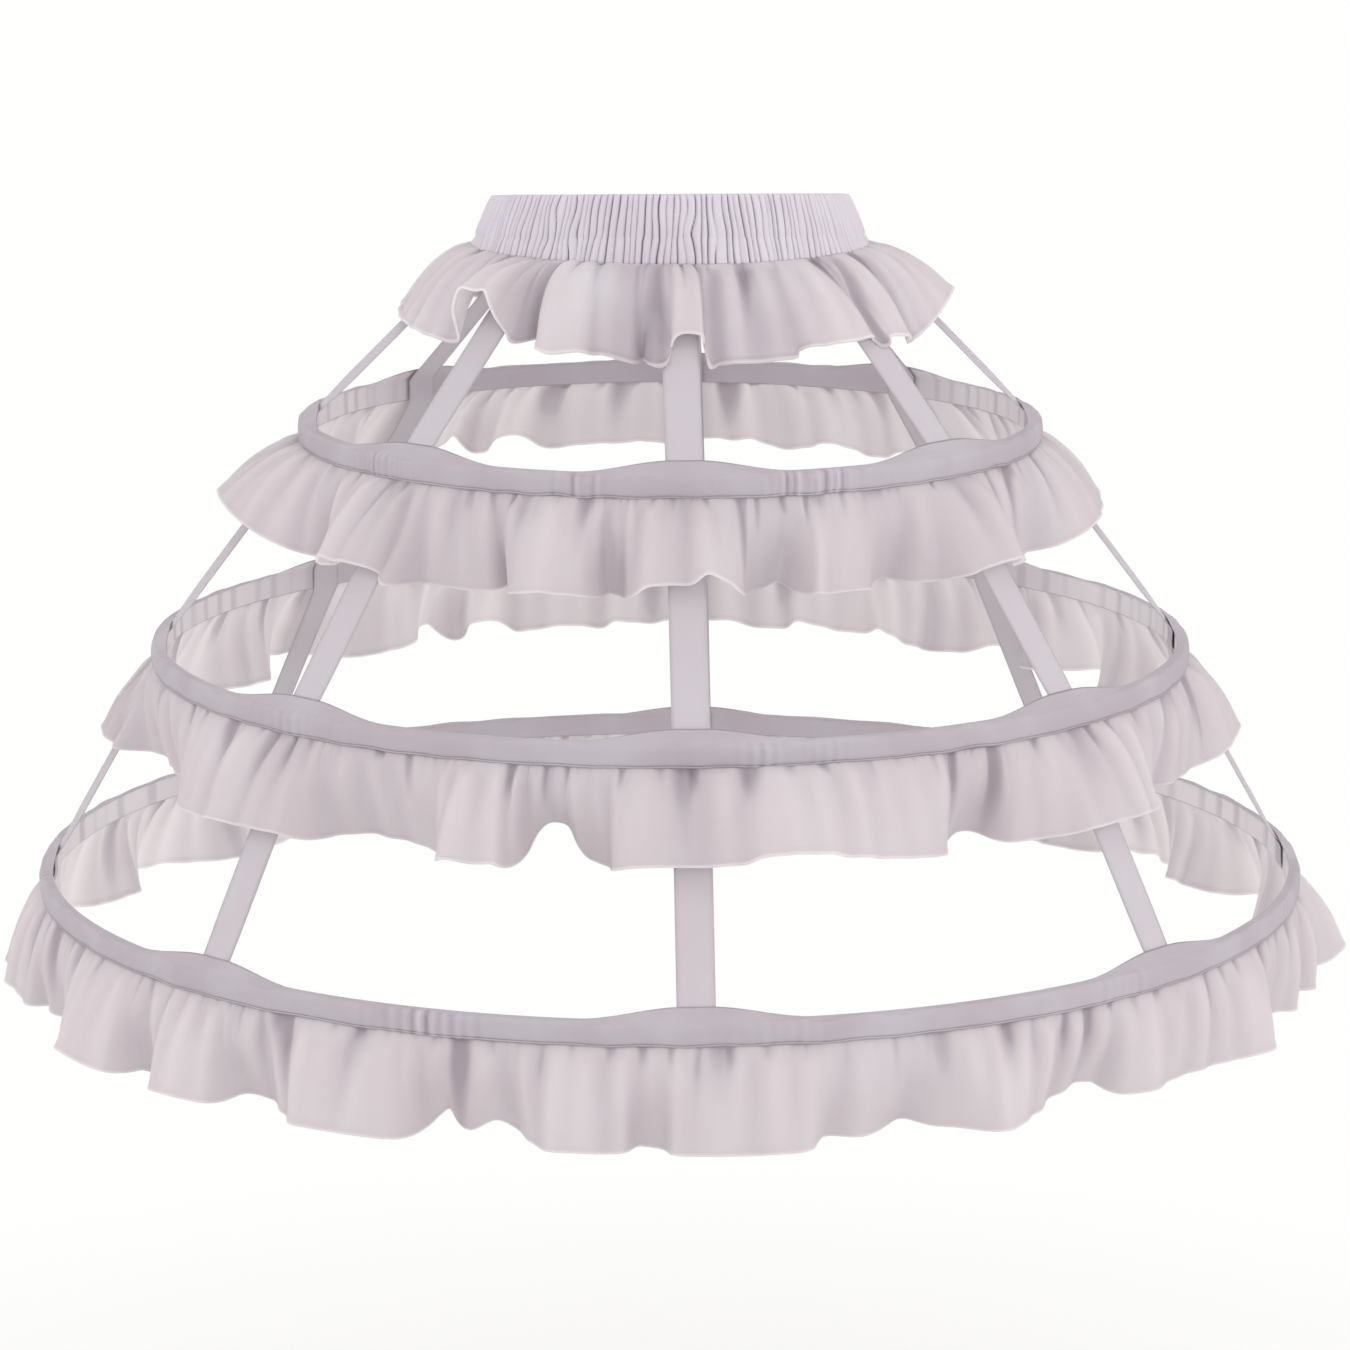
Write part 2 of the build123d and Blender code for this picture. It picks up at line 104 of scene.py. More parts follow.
def ripple(angle, fewest, most, seed, waves=9):
    """An uneven wave that closes round the ring: a sum of cosines with whole-number counts."""
    random = np.random.default_rng(seed)
    counts = random.integers(fewest, most + 1, waves)
    starts = random.uniform(0, full_turn, waves)
    return np.cos(np.multiply.outer(angle, counts) + starts).sum(-1) * math.sqrt(2 / waves)


def ring(columns):
    """Evenly spaced angles all round the cage, from the front."""
    return np.arange(columns) * full_turn / columns


def soften(values, spacing, width):
    """Blurs values round a closed ring with a bell curve of this width, by their Fourier series."""
    turns = np.fft.rfftfreq(len(values), spacing)
    keep = np.exp(-2 * (math.pi * turns * width) ** 2)
    return np.fft.irfft(np.fft.rfft(values) * keep, len(values))


print("A ripple of 5 to 9 waves goes from", ripple(np.linspace(0, full_turn, 400), 5, 9, 1).min())


# %% [markdown]
# ## From points to a piece
#
# Blender could thicken a sheet with its Solidify modifier, but folds this tight turn such a wall
# inside out. So both faces of the cloth are worked out as one closed grid, whose columns run
# round the cage and whose rows run up the outside and down the inside. Its UV map is in metres of
# cloth, so a weave keeps its true scale, and a point attribute called fold says how far a point
# lies on a crest or in a valley, which the finishes paint as light and shade.

# %% Grids into meshes
def grid_faces(columns, rows, start, ends):
    """Corner numbers of each quad between neighbouring columns and rows, all round the rows."""
    across = columns if ends == "joined" else columns - 1
    column, row = np.meshgrid(np.arange(across), np.arange(rows), indexing="ij")
    right, up = (column + 1) % columns, (row + 1) % rows
    corners = [column * rows + row, right * rows + row, right * rows + up, column * rows + up]
    return np.stack(corners, -1).reshape(-1, 4) + start, column, row


def lengths(points, axis):
    """How far along the cloth each column or row lies, from 0, with the closing step added."""
    gaps = np.linalg.norm(np.roll(points, -1, axis) - points, axis=-1)
    return np.concatenate([[0], np.cumsum(gaps.mean(1 - axis))])


def make_piece(name, grids, ends="joined"):
    """Builds one object from grids of points, each with its fold values."""
    spots, faces, uvs, folds, start = [], [], [], [], 0
    for points, fold in grids:
        columns, rows = points.shape[:2]
        corners, column, row = grid_faces(columns, rows, start, ends)
        along, up = lengths(points, 0), lengths(points, 1)
        u = np.stack([along[column], along[column + 1], along[column + 1], along[column]], -1)
        v = np.stack([up[row], up[row], up[row + 1], up[row + 1]], -1)
        spots.append(points.reshape(-1, 3))
        folds.append(np.broadcast_to(fold, points.shape[:2]).ravel())
        faces.extend(corners.tolist())
        uvs.append(np.stack([u, v], -1).reshape(-1, 2))
        if ends == "capped":
            first = np.arange(rows) + start
            last = first[::-1] + (columns - 1) * rows
            faces.extend([first.tolist(), last.tolist()])
            uvs.append(np.zeros((2 * rows, 2)))
        start += columns * rows
    mesh = bpy.data.meshes.new(name)
    mesh.from_pydata(np.concatenate(spots).tolist(), [], faces)
    mesh.uv_layers.new(name="cloth").data.foreach_set("uv", np.concatenate(uvs).ravel())
    mesh.attributes.new("fold", "FLOAT", "POINT").data.foreach_set("value", np.concatenate(folds))
    mesh.shade_smooth()
    piece = bpy.data.objects.new(name, mesh)
    bpy.context.scene.collection.objects.link(piece)
    print(name, "has", len(mesh.vertices), "points and", len(mesh.polygons), "faces")
    return piece


def two_faces(middle, half, fold, lighter):
    """The outside and inside of a sheet as one closed grid: its middle, moved by half each way.

    The fold value inside is raised by the lighter amount: painted light on the inside, for cloth that light
    comes through.
    """
    sideways = np.roll(middle, -1, 0) - np.roll(middle, 1, 0)
    down = np.gradient(middle, axis=1)
    normal = np.cross(down, sideways)
    normal /= np.linalg.norm(normal, axis=-1, keepdims=True)
    outside = middle + normal * half[..., None]
    inside = middle - normal * half[..., None]
    light = fold + lighter * (fold > 0)
    return np.concatenate([outside[:, ::-1], inside], 1), np.concatenate([fold[:, ::-1], light], 1)


# %% [markdown]
# ## Where the tapes run
#
# A tape is sewn in under the yoke and then runs straight to each hoop, behind whose casing it lies
# flat. The frills drape over the tapes, so the line of the tapes comes before either.

# %% The line of a tape
def top_height(angle):
    """Height of the waistband's top edge, which rises to the front."""
    return band_top + band_rise * np.cos(angle)


def seam_height(angle):
    """Height of the seam under the yoke, which dips at the back."""
    return seam_level - seam_dip * ((1 - np.cos(angle)) / 2) ** 3


def flat_inside(radius):
    """How far out a flat tape can lie inside a round wall."""
    return math.sqrt(radius**2 - (tape_width / 2) ** 2) - sewn_gap


def tape_line(angle):
    """Radius and height of the outer face of one tape at its start and at each hoop's two edges."""
    reach = tape_width / 2 / seam_radius
    lowest = min(seam_height(angle - reach), seam_height(angle), seam_height(angle + reach))
    line = [(flat_inside(yoke_inside) - sewn_gap, lowest - sewn_gap)]
    for name in hoop_names:
        radius = flat_inside(hoop_radius[name] - casing_thickness)
        line.append((radius, hoop_height[name] + casing_width / 2))
        line.append((radius, hoop_height[name] - casing_width / 2))
    return np.array(line)


tape_lines = np.array([tape_line(angle) for angle in tape_angles])
print("Tapes start at", tape_lines[:, 0].min(0), "and end at", tape_lines[:, -1].max(0))


# %% [markdown]
# ## Frills
#
# A frill is a straight strip, gathered to a seam and free at its hem. Gathering gives the hem more
# cloth than the hoop has room for, so it stands in folds: wide lobes that swing out, and narrow
# valleys tucked behind them. Cloth simulation could find such folds, but not the ones this frill
# has. So each fold is given as a key: its angle at the hem, how far from upright the cloth
# falls there, and its length from seam to hem as a share of the cut.

# %% The folds of each frill
lower_keys = [
    (-90, 27, 1.03), (-88.8, 22, 1.02), (-84, 24, 1.03), (-80.2, 18, 1), (-76.3, 16, 1), (-76.2, 2, .97),
    (-73, 5, .96), (-70.4, -4, .95), (-66, 8, .97), (-60.8, 30, 1.03), (-57, 29, 1.04), (-54, 28, 1.03),
    (-53.5, 1, .96), (-50, 4, .96), (-47.6, 26, 1.03), (-44, 24, 1.02), (-42, 20, 1), (-41.8, -5, .95),
    (-39.5, -10, .93), (-36, 2, .95), (-32.4, 21, 1.02), (-28, 20, 1.02), (-24.5, 17, 1.01),
    (-22.7, -7, .93), (-21.9, -12, .85), (-20.8, -12, .74), (-20.3, -12, .9), (-18.9, -5, .93),
    (-16.8, -12, .82), (-15, -11, .92), (-13.2, 4, .95), (-11, 20, 1), (-8, 18, 1), (-6.1, 16, .99),
    (-4.6, 1, .95), (-2.6, 8, .96), (-1.6, 22, 1.01), (3, 20, 1.02), (8, 18, 1.01), (8.9, 14, .99),
    (10.6, -5, .94), (13.6, -1, .95), (17.7, -15, .91), (20.2, -4, .94), (22.6, 4, .96), (25, 20, 1.01),
    (27.6, 9, .97), (29.6, 0, .95), (32.3, -10, .9), (35, -14, .84), (37.4, -17, .88), (38.7, 0, .95),
    (42, 8, .97), (45.4, 3, .95), (50.9, 5, .96), (54, 12, .98), (58, 20, 1.02), (61, 2, .96),
    (64, -10, .93), (68.9, -2, .95), (69.8, 8, .97), (72.5, 3, .96), (75.8, -2, .95), (76.9, 13, .98),
    (79, 8, .97), (81.5, 4, .96), (84.2, 12, .98), (85.9, 26, 1.02), (88.5, 35, 1.04), (93, 30, 1.03),
    (95.5, 8, .97), (98, -6, .95), (101, -2, .95), (104, 18, 1), (108, 24, 1.01), (111, 6, .97),
    (114, -8, .94), (118, -4, .95), (121, 14, .99), (125, 24, 1.01), (128.5, 20, 1), (131, 0, .95),
    (134.5, -9, .94), (138, 2, .96), (141, 18, .99), (145, 26, 1.02), (149, 12, .98), (152, -4, .95),
    (156, 2, .96), (159.5, 18, 1), (164, 25, 1.02), (168, 10, .97), (171, -6, .94), (175, -2, .95),
    (178.5, 16, .99), (182.5, 24, 1.01), (187, 20, 1), (190, 2, .96), (193.5, -8, .94), (197, 4, .96),
    (200, 20, 1), (204.5, 24, 1.01), (208, 6, .97), (211, -6, .95), (214.5, 6, .96), (218, 14, .98),
    (222, 4, .96), (226.5, -7, .94), (230, 4, .96), (233, 20, 1), (237, 26, 1.02), (241, 10, .97),
    (244, -6, .94), (248, 0, .95), (251, 16, .99), (255, 24, 1.01), (258.5, 6, .96), (262, -4, .95),
    (265, 12, .98), (267.5, 24, 1.02),
]
middle_keys = [
    (-92.3, 36, 1.02), (-89.3, 34, 1.02), (-86.5, 4, .95), (-81, -7, .94), (-74, -6, .94), (-69, -6, .94),
    (-63, 14, .98), (-57, 28, 1.02), (-53, 30, 1.02), (-50, 36, 1.03), (-45, 38, 1.03), (-42, 34, 1),
    (-41, 19, .98), (-39.4, -6, .94), (-36, -14, .93), (-32, -12, .93), (-29, -9, .93), (-26, 2, .95),
    (-23.9, 32, 1.01), (-20.5, 30, 1.01), (-18.6, 32, 1.01), (-17.4, -4, .94), (-15.8, -12, .68),
    (-14.4, -12, .58), (-12.9, -12, .6), (-11.5, -11, .84), (-10.6, -8, .93), (-8.1, 5, .95), (-7, 30, 1),
    (-3, 37, 1.01), (0, 38, 1.02), (3.7, 40, 1.03), (6, 50, 1.05), (10, 52, 1.06), (14.4, 45, 1.04),
    (18.2, 37, 1.02), (22, 31, 1.01), (25, 20, .98), (28, -8, .94), (31, -18, .92), (32.9, -12, .93),
    (34, 12, .96), (36, 14, .97), (38.8, 20, .99), (42, 36, 1.03), (46, 38, 1.04), (50, 34, 1.03),
    (54, 24, 1), (58, 6, .96), (63, -5, .94), (66, 4, .95), (70, 6, .95), (74, 8, .96), (79, 22, 1),
    (84.3, 32, 1.02), (89.7, 38, 1.03), (93.5, 28, 1.01), (95, 4, .96), (98, -4, .95), (101, 12, .97),
    (104, 28, 1.01), (108, 26, 1.01), (110, 4, .95), (114, -6, .94), (118, 10, .97), (122, 26, 1),
    (126, 14, .98), (130, 0, .95), (134, 20, 1), (138, 30, 1), (141, 12, .97), (143.9, 3, .95),
    (147, 10, .97), (150.1, 20, 1), (153.6, 32, 1), (154.7, 24, .99), (158.5, 25, .99), (161.2, 31, 1),
    (163.6, 33, 1), (164.4, 24, .99), (166, 22, .99), (169.8, 29, 1), (173.3, 32, 1), (178, 31, 1),
    (180.6, 27, .99), (184, 30, 1), (186.1, 23, .99), (190.1, 27, .99), (193.7, 23, .98), (195.7, 21, .98),
    (196.6, 30, 1), (197.6, 36, 1.01), (200.6, 37, 1.01), (202.1, 25, .99), (204.2, 16, .97),
    (205.2, 28, .99), (205.9, 41, 1.01), (206.8, 39, 1.01), (208.6, 23, .99), (211.5, 13, .97),
    (213.9, 10, .96), (217.7, 8, .96), (220.9, 15, .97), (224, 30, 1), (228, 34, 1.01), (231, 16, .98),
    (235, -2, .95), (240, 2, .95), (243, 18, .98), (247, 30, 1.01), (251, 26, 1.01), (254, 6, .96),
    (258, -4, .95), (262, 12, .97), (265, 30, 1.01),
]
upper_keys = [
    (-94, 56, 1.03), (-88, 58, 1.03), (-82, 52, 1.02), (-76, 44, 1), (-70, 32, .98), (-64, 16, .95),
    (-61.5, 4, .94), (-58, 16, .98), (-55, 34, 1.02), (-50, 46, 1.04), (-45, 46, 1.04), (-42.6, 36, 1),
    (-41.3, 16, .98), (-36, 12, .97), (-31.6, 13, .98), (-28.4, 8, .97), (-27, -10, .93), (-25.6, 6, .95),
    (-23, 26, 1), (-18.9, 33, 1.02), (-14.4, 30, 1.01), (-12.4, 20, .98), (-11.2, -2, .94), (-9, 4, .95),
    (-7, 30, .99), (-4, 44, 1), (0, 45, 1), (2.3, 55, 1.02), (4.7, 48, 1), (7, 30, .97), (9.4, -2, .93),
    (11.3, -6, .93), (14.7, -15, .91), (16.4, 4, .95), (17.9, 22, .98), (20, 16, .98), (22.4, 13, .97),
    (26.2, 12, .97), (28.6, 0, .95), (31.8, -8, .93), (35, 4, .96), (38.4, 15, .98), (41.3, 34, 1.01),
    (45, 45, 1.04), (49, 40, 1.03), (53, 20, .99), (59, 12, .97), (64, 6, .95), (69, 24, .98), (75, 36, 1),
    (82, 40, 1.01), (89, 42, 1.02), (96, 46, 1.03), (101, 34, 1), (106, 14, .96), (112, 6, .95),
    (117, 24, 1), (123, 38, 1.02), (128, 30, 1), (133, 24, .98), (137.8, 32, 1), (142, 39, 1),
    (143.2, 38, 1), (144, 31, .99), (147, 33, 1), (151, 38, 1), (155.6, 42, 1), (156.9, 34, .99),
    (160.6, 33, .99), (163.5, 38, 1), (169, 41, 1), (173.2, 41, 1), (178.6, 36, 1), (182.5, 39, 1),
    (184, 37, 1), (189.7, 37, 1), (193.6, 35, 1), (196.5, 34, .99), (198.8, 44, 1), (201.9, 49, 1.02),
    (203.7, 45, 1.01), (206.7, 33, .99), (208, 33, .98), (209, 42, 1), (209.8, 51, 1.02), (212.3, 45, 1.01),
    (216, 34, .99), (221, 22, .97), (226, 38, 1.02), (231, 40, 1.02), (235, 20, .98), (239, 8, .95),
    (244, 24, .98), (249, 36, 1.01), (254, 30, 1), (258, 38, 1.01), (262, 50, 1.03),
]
waist_keys = [
    (-91, 47, 1.08), (-80, 45, 1.1), (-68, 43, 1.12), (-60, 40, 1.12), (-54, 38, 1.1), (-52, 55, 1),
    (-47, 76, .95), (-41, 76, .95), (-40, 50, .95), (-38, 38, 1), (-35, 26, .85), (-31, 42, 1.1),
    (-27, 45, 1.19), (-21, 42, 1.1), (-19, 35, 1.06), (-17, 36, 1.06), (-13, 35, 1.1), (-10.2, 34, 1.13),
    (-8.2, 20, .98), (-5.5, 20, .98), (-2.6, 30, 1.04), (-1.4, 49, 1), (1.5, 53, .98), (4.5, 50, .98),
    (5.6, 24, 1.04), (7.8, 31, 1.12), (13.7, 34, 1.14), (21.5, 35, 1.14), (25.8, 36, 1.14),
    (27.3, 33, 1.03), (30, 39, 1.04), (36, 44, 1.1), (41, 48, 1.13), (44.5, 46, 1.1), (46.2, 28, 1),
    (48.5, 32, 1.02), (52, 46, 1.12), (57, 44, 1.15), (62, 36, 1.15), (67, 38, 1.12), (75, 44, 1.08),
    (82, 53, 1.05), (88, 62, 1.05), (95, 58, 1.06), (101, 46, 1), (106, 42, .98), (112, 52, 1.04),
    (119, 54, 1.05), (124, 42, .97), (129, 40, .96), (136, 50, 1.03), (143, 54, 1.05), (149, 42, .97),
    (155, 40, .96), (162, 50, 1.03), (169, 53, 1.05), (175, 48, 1), (181, 48, 1), (188, 53, 1.05),
    (194, 42, .97), (200, 40, .96), (207, 50, 1.03), (214, 54, 1.05), (220, 42, .97), (226, 44, .98),
    (233, 52, 1.04), (240, 50, 1.03), (246, 41, .96), (252, 44, .98), (259, 50, 1.05), (265, 48, 1.07),
]
print("Keys by hand:", len(waist_keys), len(upper_keys), len(middle_keys), len(lower_keys))


# %% [markdown]
# ## The curve of a hem
#
# A hem is one long edge without corners. An ordinary spline through the keys swings past them
# where a wide lobe meets a narrow valley. This one takes the harmonic mean of the slopes on both
# sides, so it never overshoots. Columns of cloth are spaced evenly along it, as threads are.

# %% The hem's curve
def through(keys, steps=24):
    """A closed curve through the keys, in cubic pieces whose slopes are harmonic means."""
    ahead = np.roll(keys, -1, 0) - keys
    ahead[-1, 0] += full_turn
    behind = np.roll(ahead, 1, 0)
    agree = ahead * behind > 0
    slope = np.where(agree, 2 * ahead * behind / np.where(agree, ahead + behind, 1), 0)
    first, second = slope[:, None], np.roll(slope, -1, 0)[:, None]
    rise, share = ahead[:, None], (np.arange(steps) / steps)[:, None]
    curve = keys[:, None] + first * share + (3 * rise - 2 * first - second) * share**2
    curve = curve + (first + second - 2 * rise) * share**3
    return curve.reshape(-1, keys.shape[1])


def hem_curve(keys, radius, height, length, columns):
    """Angle, fall and reach of evenly spaced columns along the hem, and the hem's length."""
    keys = np.array(keys, float) * [math.pi / 180, math.pi / 180, 1]
    curve = through(keys)
    angle, fall, reach = curve.T
    hem = around(angle, radius + length * reach * np.sin(fall), height - length * reach * np.cos(fall))
    gaps = np.linalg.norm(np.roll(hem, -1, 0) - hem, axis=1)
    along = np.concatenate([[0], np.cumsum(gaps)])
    closed = np.concatenate([curve, curve[:1] + [[full_turn, 0, 0]]])
    even = np.linspace(0, along[-1], columns, endpoint=False)
    angle, fall, reach = (np.interp(even, along, values) for values in closed.T)
    return angle, fall, reach, along[-1]


# %% [markdown]
# ## Tucks under a seam
#
# Where a frill is sewn on, its gathers make short tucks. They could be painted, but would look flat
# from the side. So the surface is pressed in by three sizes of tuck, each the deep part of an
# uneven wave, and wide tucks reach furthest down.

# %% The depth of the tucks
tuck_kinds = (
    {"least": 7 * mm, "most": 13 * mm, "size": 0.35 * mm, "reach": 9 * mm},
    {"least": 15 * mm, "most": 32 * mm, "size": 1.0 * mm, "reach": 20 * mm},
    {"least": 36 * mm, "most": 80 * mm, "size": 1.3 * mm, "reach": 40 * mm},
)


def tucks(turn, down, hem, seed):
    """Depth of the tucks at each point, from their spacing, size and reach down the cloth."""
    depth = 0
    for order, kind in enumerate(tuck_kinds):
        wave = ripple(turn, int(hem / kind["most"]), int(hem / kind["least"]), seed + order)
        uneven = np.clip(1 + 0.5 * ripple(turn, 20, 70, seed + 10 + order), 0.35, 2)
        far = kind["reach"] * uneven[:, None]
        fade = 1 - step(down, 0.1 * far, far)
        depth = depth + kind["size"] * np.clip(wave - 0.5, 0, 1.6)[:, None] * fade
    return depth * step(down, 0, 1.5 * mm)


# %% [markdown]
# ## The cloth between seam and hem
#
# Each column of cloth runs from the seam, where the folds have closed up into fine gathers, to its
# place on the hem. Straight lines between the two would look like folded card, so a belly swings
# the cloth out near the seam, most of all at the sides of the waist frill. Uneven waves make it
# slack, and it is pushed out where a tape runs under it.
#
# The fold values, painted as shade and light, run from 0 in a valley to 1 on a crest, fall below 0 in a
# sharp tuck and along the seam, for painted shade, and rise above 1 on the hem's turned edge, for a
# painted highlight. The real waist frill is darker on its steep front than these lamps make it, so
# painted shade darkens it there.

# %% A frill's surface
fold_blur = 2.5 * mm
fall_blur = 2.2 * mm
gathering_blur = 26 * mm
mean_blur = 40 * mm
small_size = 1.1 * mm
slack_size = 0.7 * mm
yoke_overlap = 0.6 * mm
full_crest = math.radians(16)
steep_fall = math.radians(35)
flat_fall = math.radians(43)
tuck_full_shade = 1.25 * mm
tape_clearance = 1.6 * mm
over_tape = 12.5 * mm
beside_tape = 24 * mm


def over_tapes(bearing, out, level, line):
    """Pushes cloth out until it lies clear of the tapes, whose face is a line of radius by height."""
    if line is None:
        return out
    for index, tape_angle in enumerate(tape_angles):
        start, end = line[index]
        lean = (end[0] - start[0]) / (end[1] - start[1])
        face = start[0] + lean * (level - start[1]) + tape_clearance
        aside = out * np.sin(bearing - tape_angle)
        facing = np.cos(bearing - tape_angle) > 0
        near = (1 - step(np.abs(aside), over_tape, beside_tape)) * facing
        short = face - out * np.cos(bearing - tape_angle)
        out = out + near * (short + np.sqrt(short**2 + (1.5 * mm) ** 2)) / 2
    return out


def edge_tones(share, length):
    """What the painted highlight on the hem's turned edge, the darker line just above it and the painted
    shadow along the seam add to a fold.
    """
    from_hem = length * (1 - share)
    turned = 1.1 * (1 - step(from_hem, 0.7 * mm, 1.6 * mm))
    above = 0.35 * np.exp(-(((from_hem - 2.2 * mm) / (0.8 * mm)) ** 2))
    seam_shadow = 1 - step(length * share, 0.3 * mm, 1.2 * mm)
    return turned - above - seam_shadow


def frill_surface(keys, radius, height, length, line, rows, columns, seed, belly, shaded):
    """The middle of a frill's cloth, its fold values, and the length of its hem.

    At share t of the way down, a column lies at radius R + L t sin c and height Z - L t cos c. The
    angle c starts near the mean fall, swung out by the belly, and goes to the key's own fall at the
    hem. The belly is a pair of angles: one for the front and back, and one for the sides.
    """
    hem_height = height(0.0) if callable(height) else height
    angle, fall, reach, hem = hem_curve(keys, radius, hem_height, length, columns)
    spacing = hem / columns
    turn = ring(columns)
    drift = angle - turn
    hem_angle = turn + soften(drift, spacing, fold_blur)
    seam_angle = turn + soften(drift, spacing, gathering_blur)
    fall = soften(fall, spacing, fall_blur)
    reach = soften(reach, spacing, fold_blur)
    mean = soften(fall, spacing, mean_blur)
    share = rows[None, :]
    swing = 0.35 + 0.65 * step(share, 0, 0.75)
    bulge = belly[0] + (belly[1] - belly[0]) * step(np.abs(np.sin(turn)), 0.8, 0.98)[:, None]
    chord = mean[:, None] + bulge * (1 - share) ** 1.3 + (fall - mean)[:, None] * swing
    down = length * share * (1 + (reach[:, None] - 1) * share)
    bearing = seam_angle[:, None] + (hem_angle - seam_angle)[:, None] * share**0.8
    start = seam_height(bearing) + yoke_overlap if callable(height) else height
    gathered = tucks(turn, down, hem, seed)
    small = ripple(turn, int(hem / (55 * mm)), int(hem / (20 * mm)), seed + 30)[:, None]
    small = small * step(share, 0, 0.25) * (1 - 0.45 * share)
    slack = ripple(turn, int(hem / (110 * mm)), int(hem / (45 * mm)), seed + 31)[:, None]
    slack = slack * np.sin(math.pi * share)
    puff = small_size * small + slack_size * slack - gathered
    out = radius + down * np.sin(chord) + puff * np.cos(chord)
    level = start - down * np.cos(chord) + puff * np.sin(chord)
    out = over_tapes(bearing, out, level, line)
    # Painted light and shade: crests that swing out are lighter, and deep tucks, the seam and the waist
    # frill's steep front are darker.
    fold = 0.5 + 0.5 * np.clip((fall - mean)[:, None] / full_crest * swing, -1, 1)
    steep = step(-fall, -flat_fall, -steep_fall)[:, None] * step(share, 0, 0.15)
    fold = np.clip(fold + 0.22 * small, 0, 1) - gathered / tuck_full_shade - shaded * steep
    fold = np.clip(fold + edge_tones(share, length), -1, 1.5)
    return around(bearing, out, level), fold, hem


# %% [markdown]
# ## Making the four frills
#
# The waist frill hangs from the yoke's seam and the others from the foot of a casing. Each could be
# made in its own cell, but in one loop a change to the cloth changes them all. Rows crowd together
# at both edges, and the hem is twice as thick as the rest, as a turned edge is.

# %% Make the frills
frill_inset = 2.0 * mm
frill_drop = 6.7 * mm
waist_belly = (0.5, 1.2)
hoop_belly = (0.35, 0.55)
waist_shading = 0.55
# Each frill's keys, the radius and height of its seam, columns, rows, belly and shading.
waist_place = (seam_radius - 0.5 * mm, seam_height)
frills = {"waist": (waist_keys, *waist_place, 1200, 30, waist_belly, waist_shading)}
for name, keys, columns, count in (
    ("upper", upper_keys, 1500, 26),
    ("middle", middle_keys, 1900, 24),
    ("lower", lower_keys, 2100, 22),
):
    place = (hoop_radius[name] - frill_inset, hoop_height[name] - frill_drop)
    frills[name] = (keys, *place, columns, count, hoop_belly, 0)
half_cloth = 0.4 * mm
frill_seed = 20
# Painted light on each frill's inside, added to its fold values.
painted_inside_light = 0.9
cloth_pieces = {}
hem_lengths, cut_widths = {}, {}
for order, (name, frill) in enumerate(frills.items()):
    keys, radius, height, columns, count, belly, shaded = frill
    line = tape_lines[:, 2 * order : 2 * order + 2] if order < 3 else None
    length = frill_length[name]
    between = np.linspace(2 * mm, length - 2 * mm, count - 4)
    rows = np.concatenate([[0, 0.8 * mm], between, [length - 0.7 * mm, length]]) / length
    curve = (keys, radius, height, length, line)
    middle, fold, hem = frill_surface(*curve, rows, columns, frill_seed + order, belly, shaded)
    edge = step(length * rows, length - 3 * mm, length - 1.2 * mm)
    half = np.broadcast_to(half_cloth * (1 + edge), middle.shape[:2])
    faces = two_faces(middle, half, fold, painted_inside_light)
    cloth_pieces[name + "_frill"] = make_piece(name + "_frill_cloth", [faces])
    hem_lengths[name] = hem
    cut_widths[name] = length * np.mean([reach for angle, fall, reach in keys])
    print(name, "frill: its hem is", round(hem, 3), "m round")


# %% [markdown]
# ## Casings
#
# A casing is a strip folded round the bone and stitched along its lower edge. Where a tape runs
# behind, the strip is drawn up into a low tent. It could be a swept tube, but the tents and
# creases need control of every row, so it is a section carried round the hoop. A second, inverted
# grid inside is the tunnel that the bone lies in. Light comes through the casing's sides, so its
# inside gets painted light there, and painted shade in its creases. Its raised tents get painted
# light, and its stitched groove and foot a dark painted shade.

# %% The surface of a casing
casing_columns = 1800
tunnel_columns = 480
stitch_level = -5.4 * mm
foot_level = -6.8 * mm


def tents(angle, radius):
    """How far the casing is drawn up, from 0 to 1: flat over each tape, falling away over 60 mm."""
    offset = (angle[:, None] - tape_angles + math.pi) % full_turn - math.pi
    aside = np.abs(offset) * radius
    return (1 - step(aside, 8 * mm, 68 * mm)).max(1)


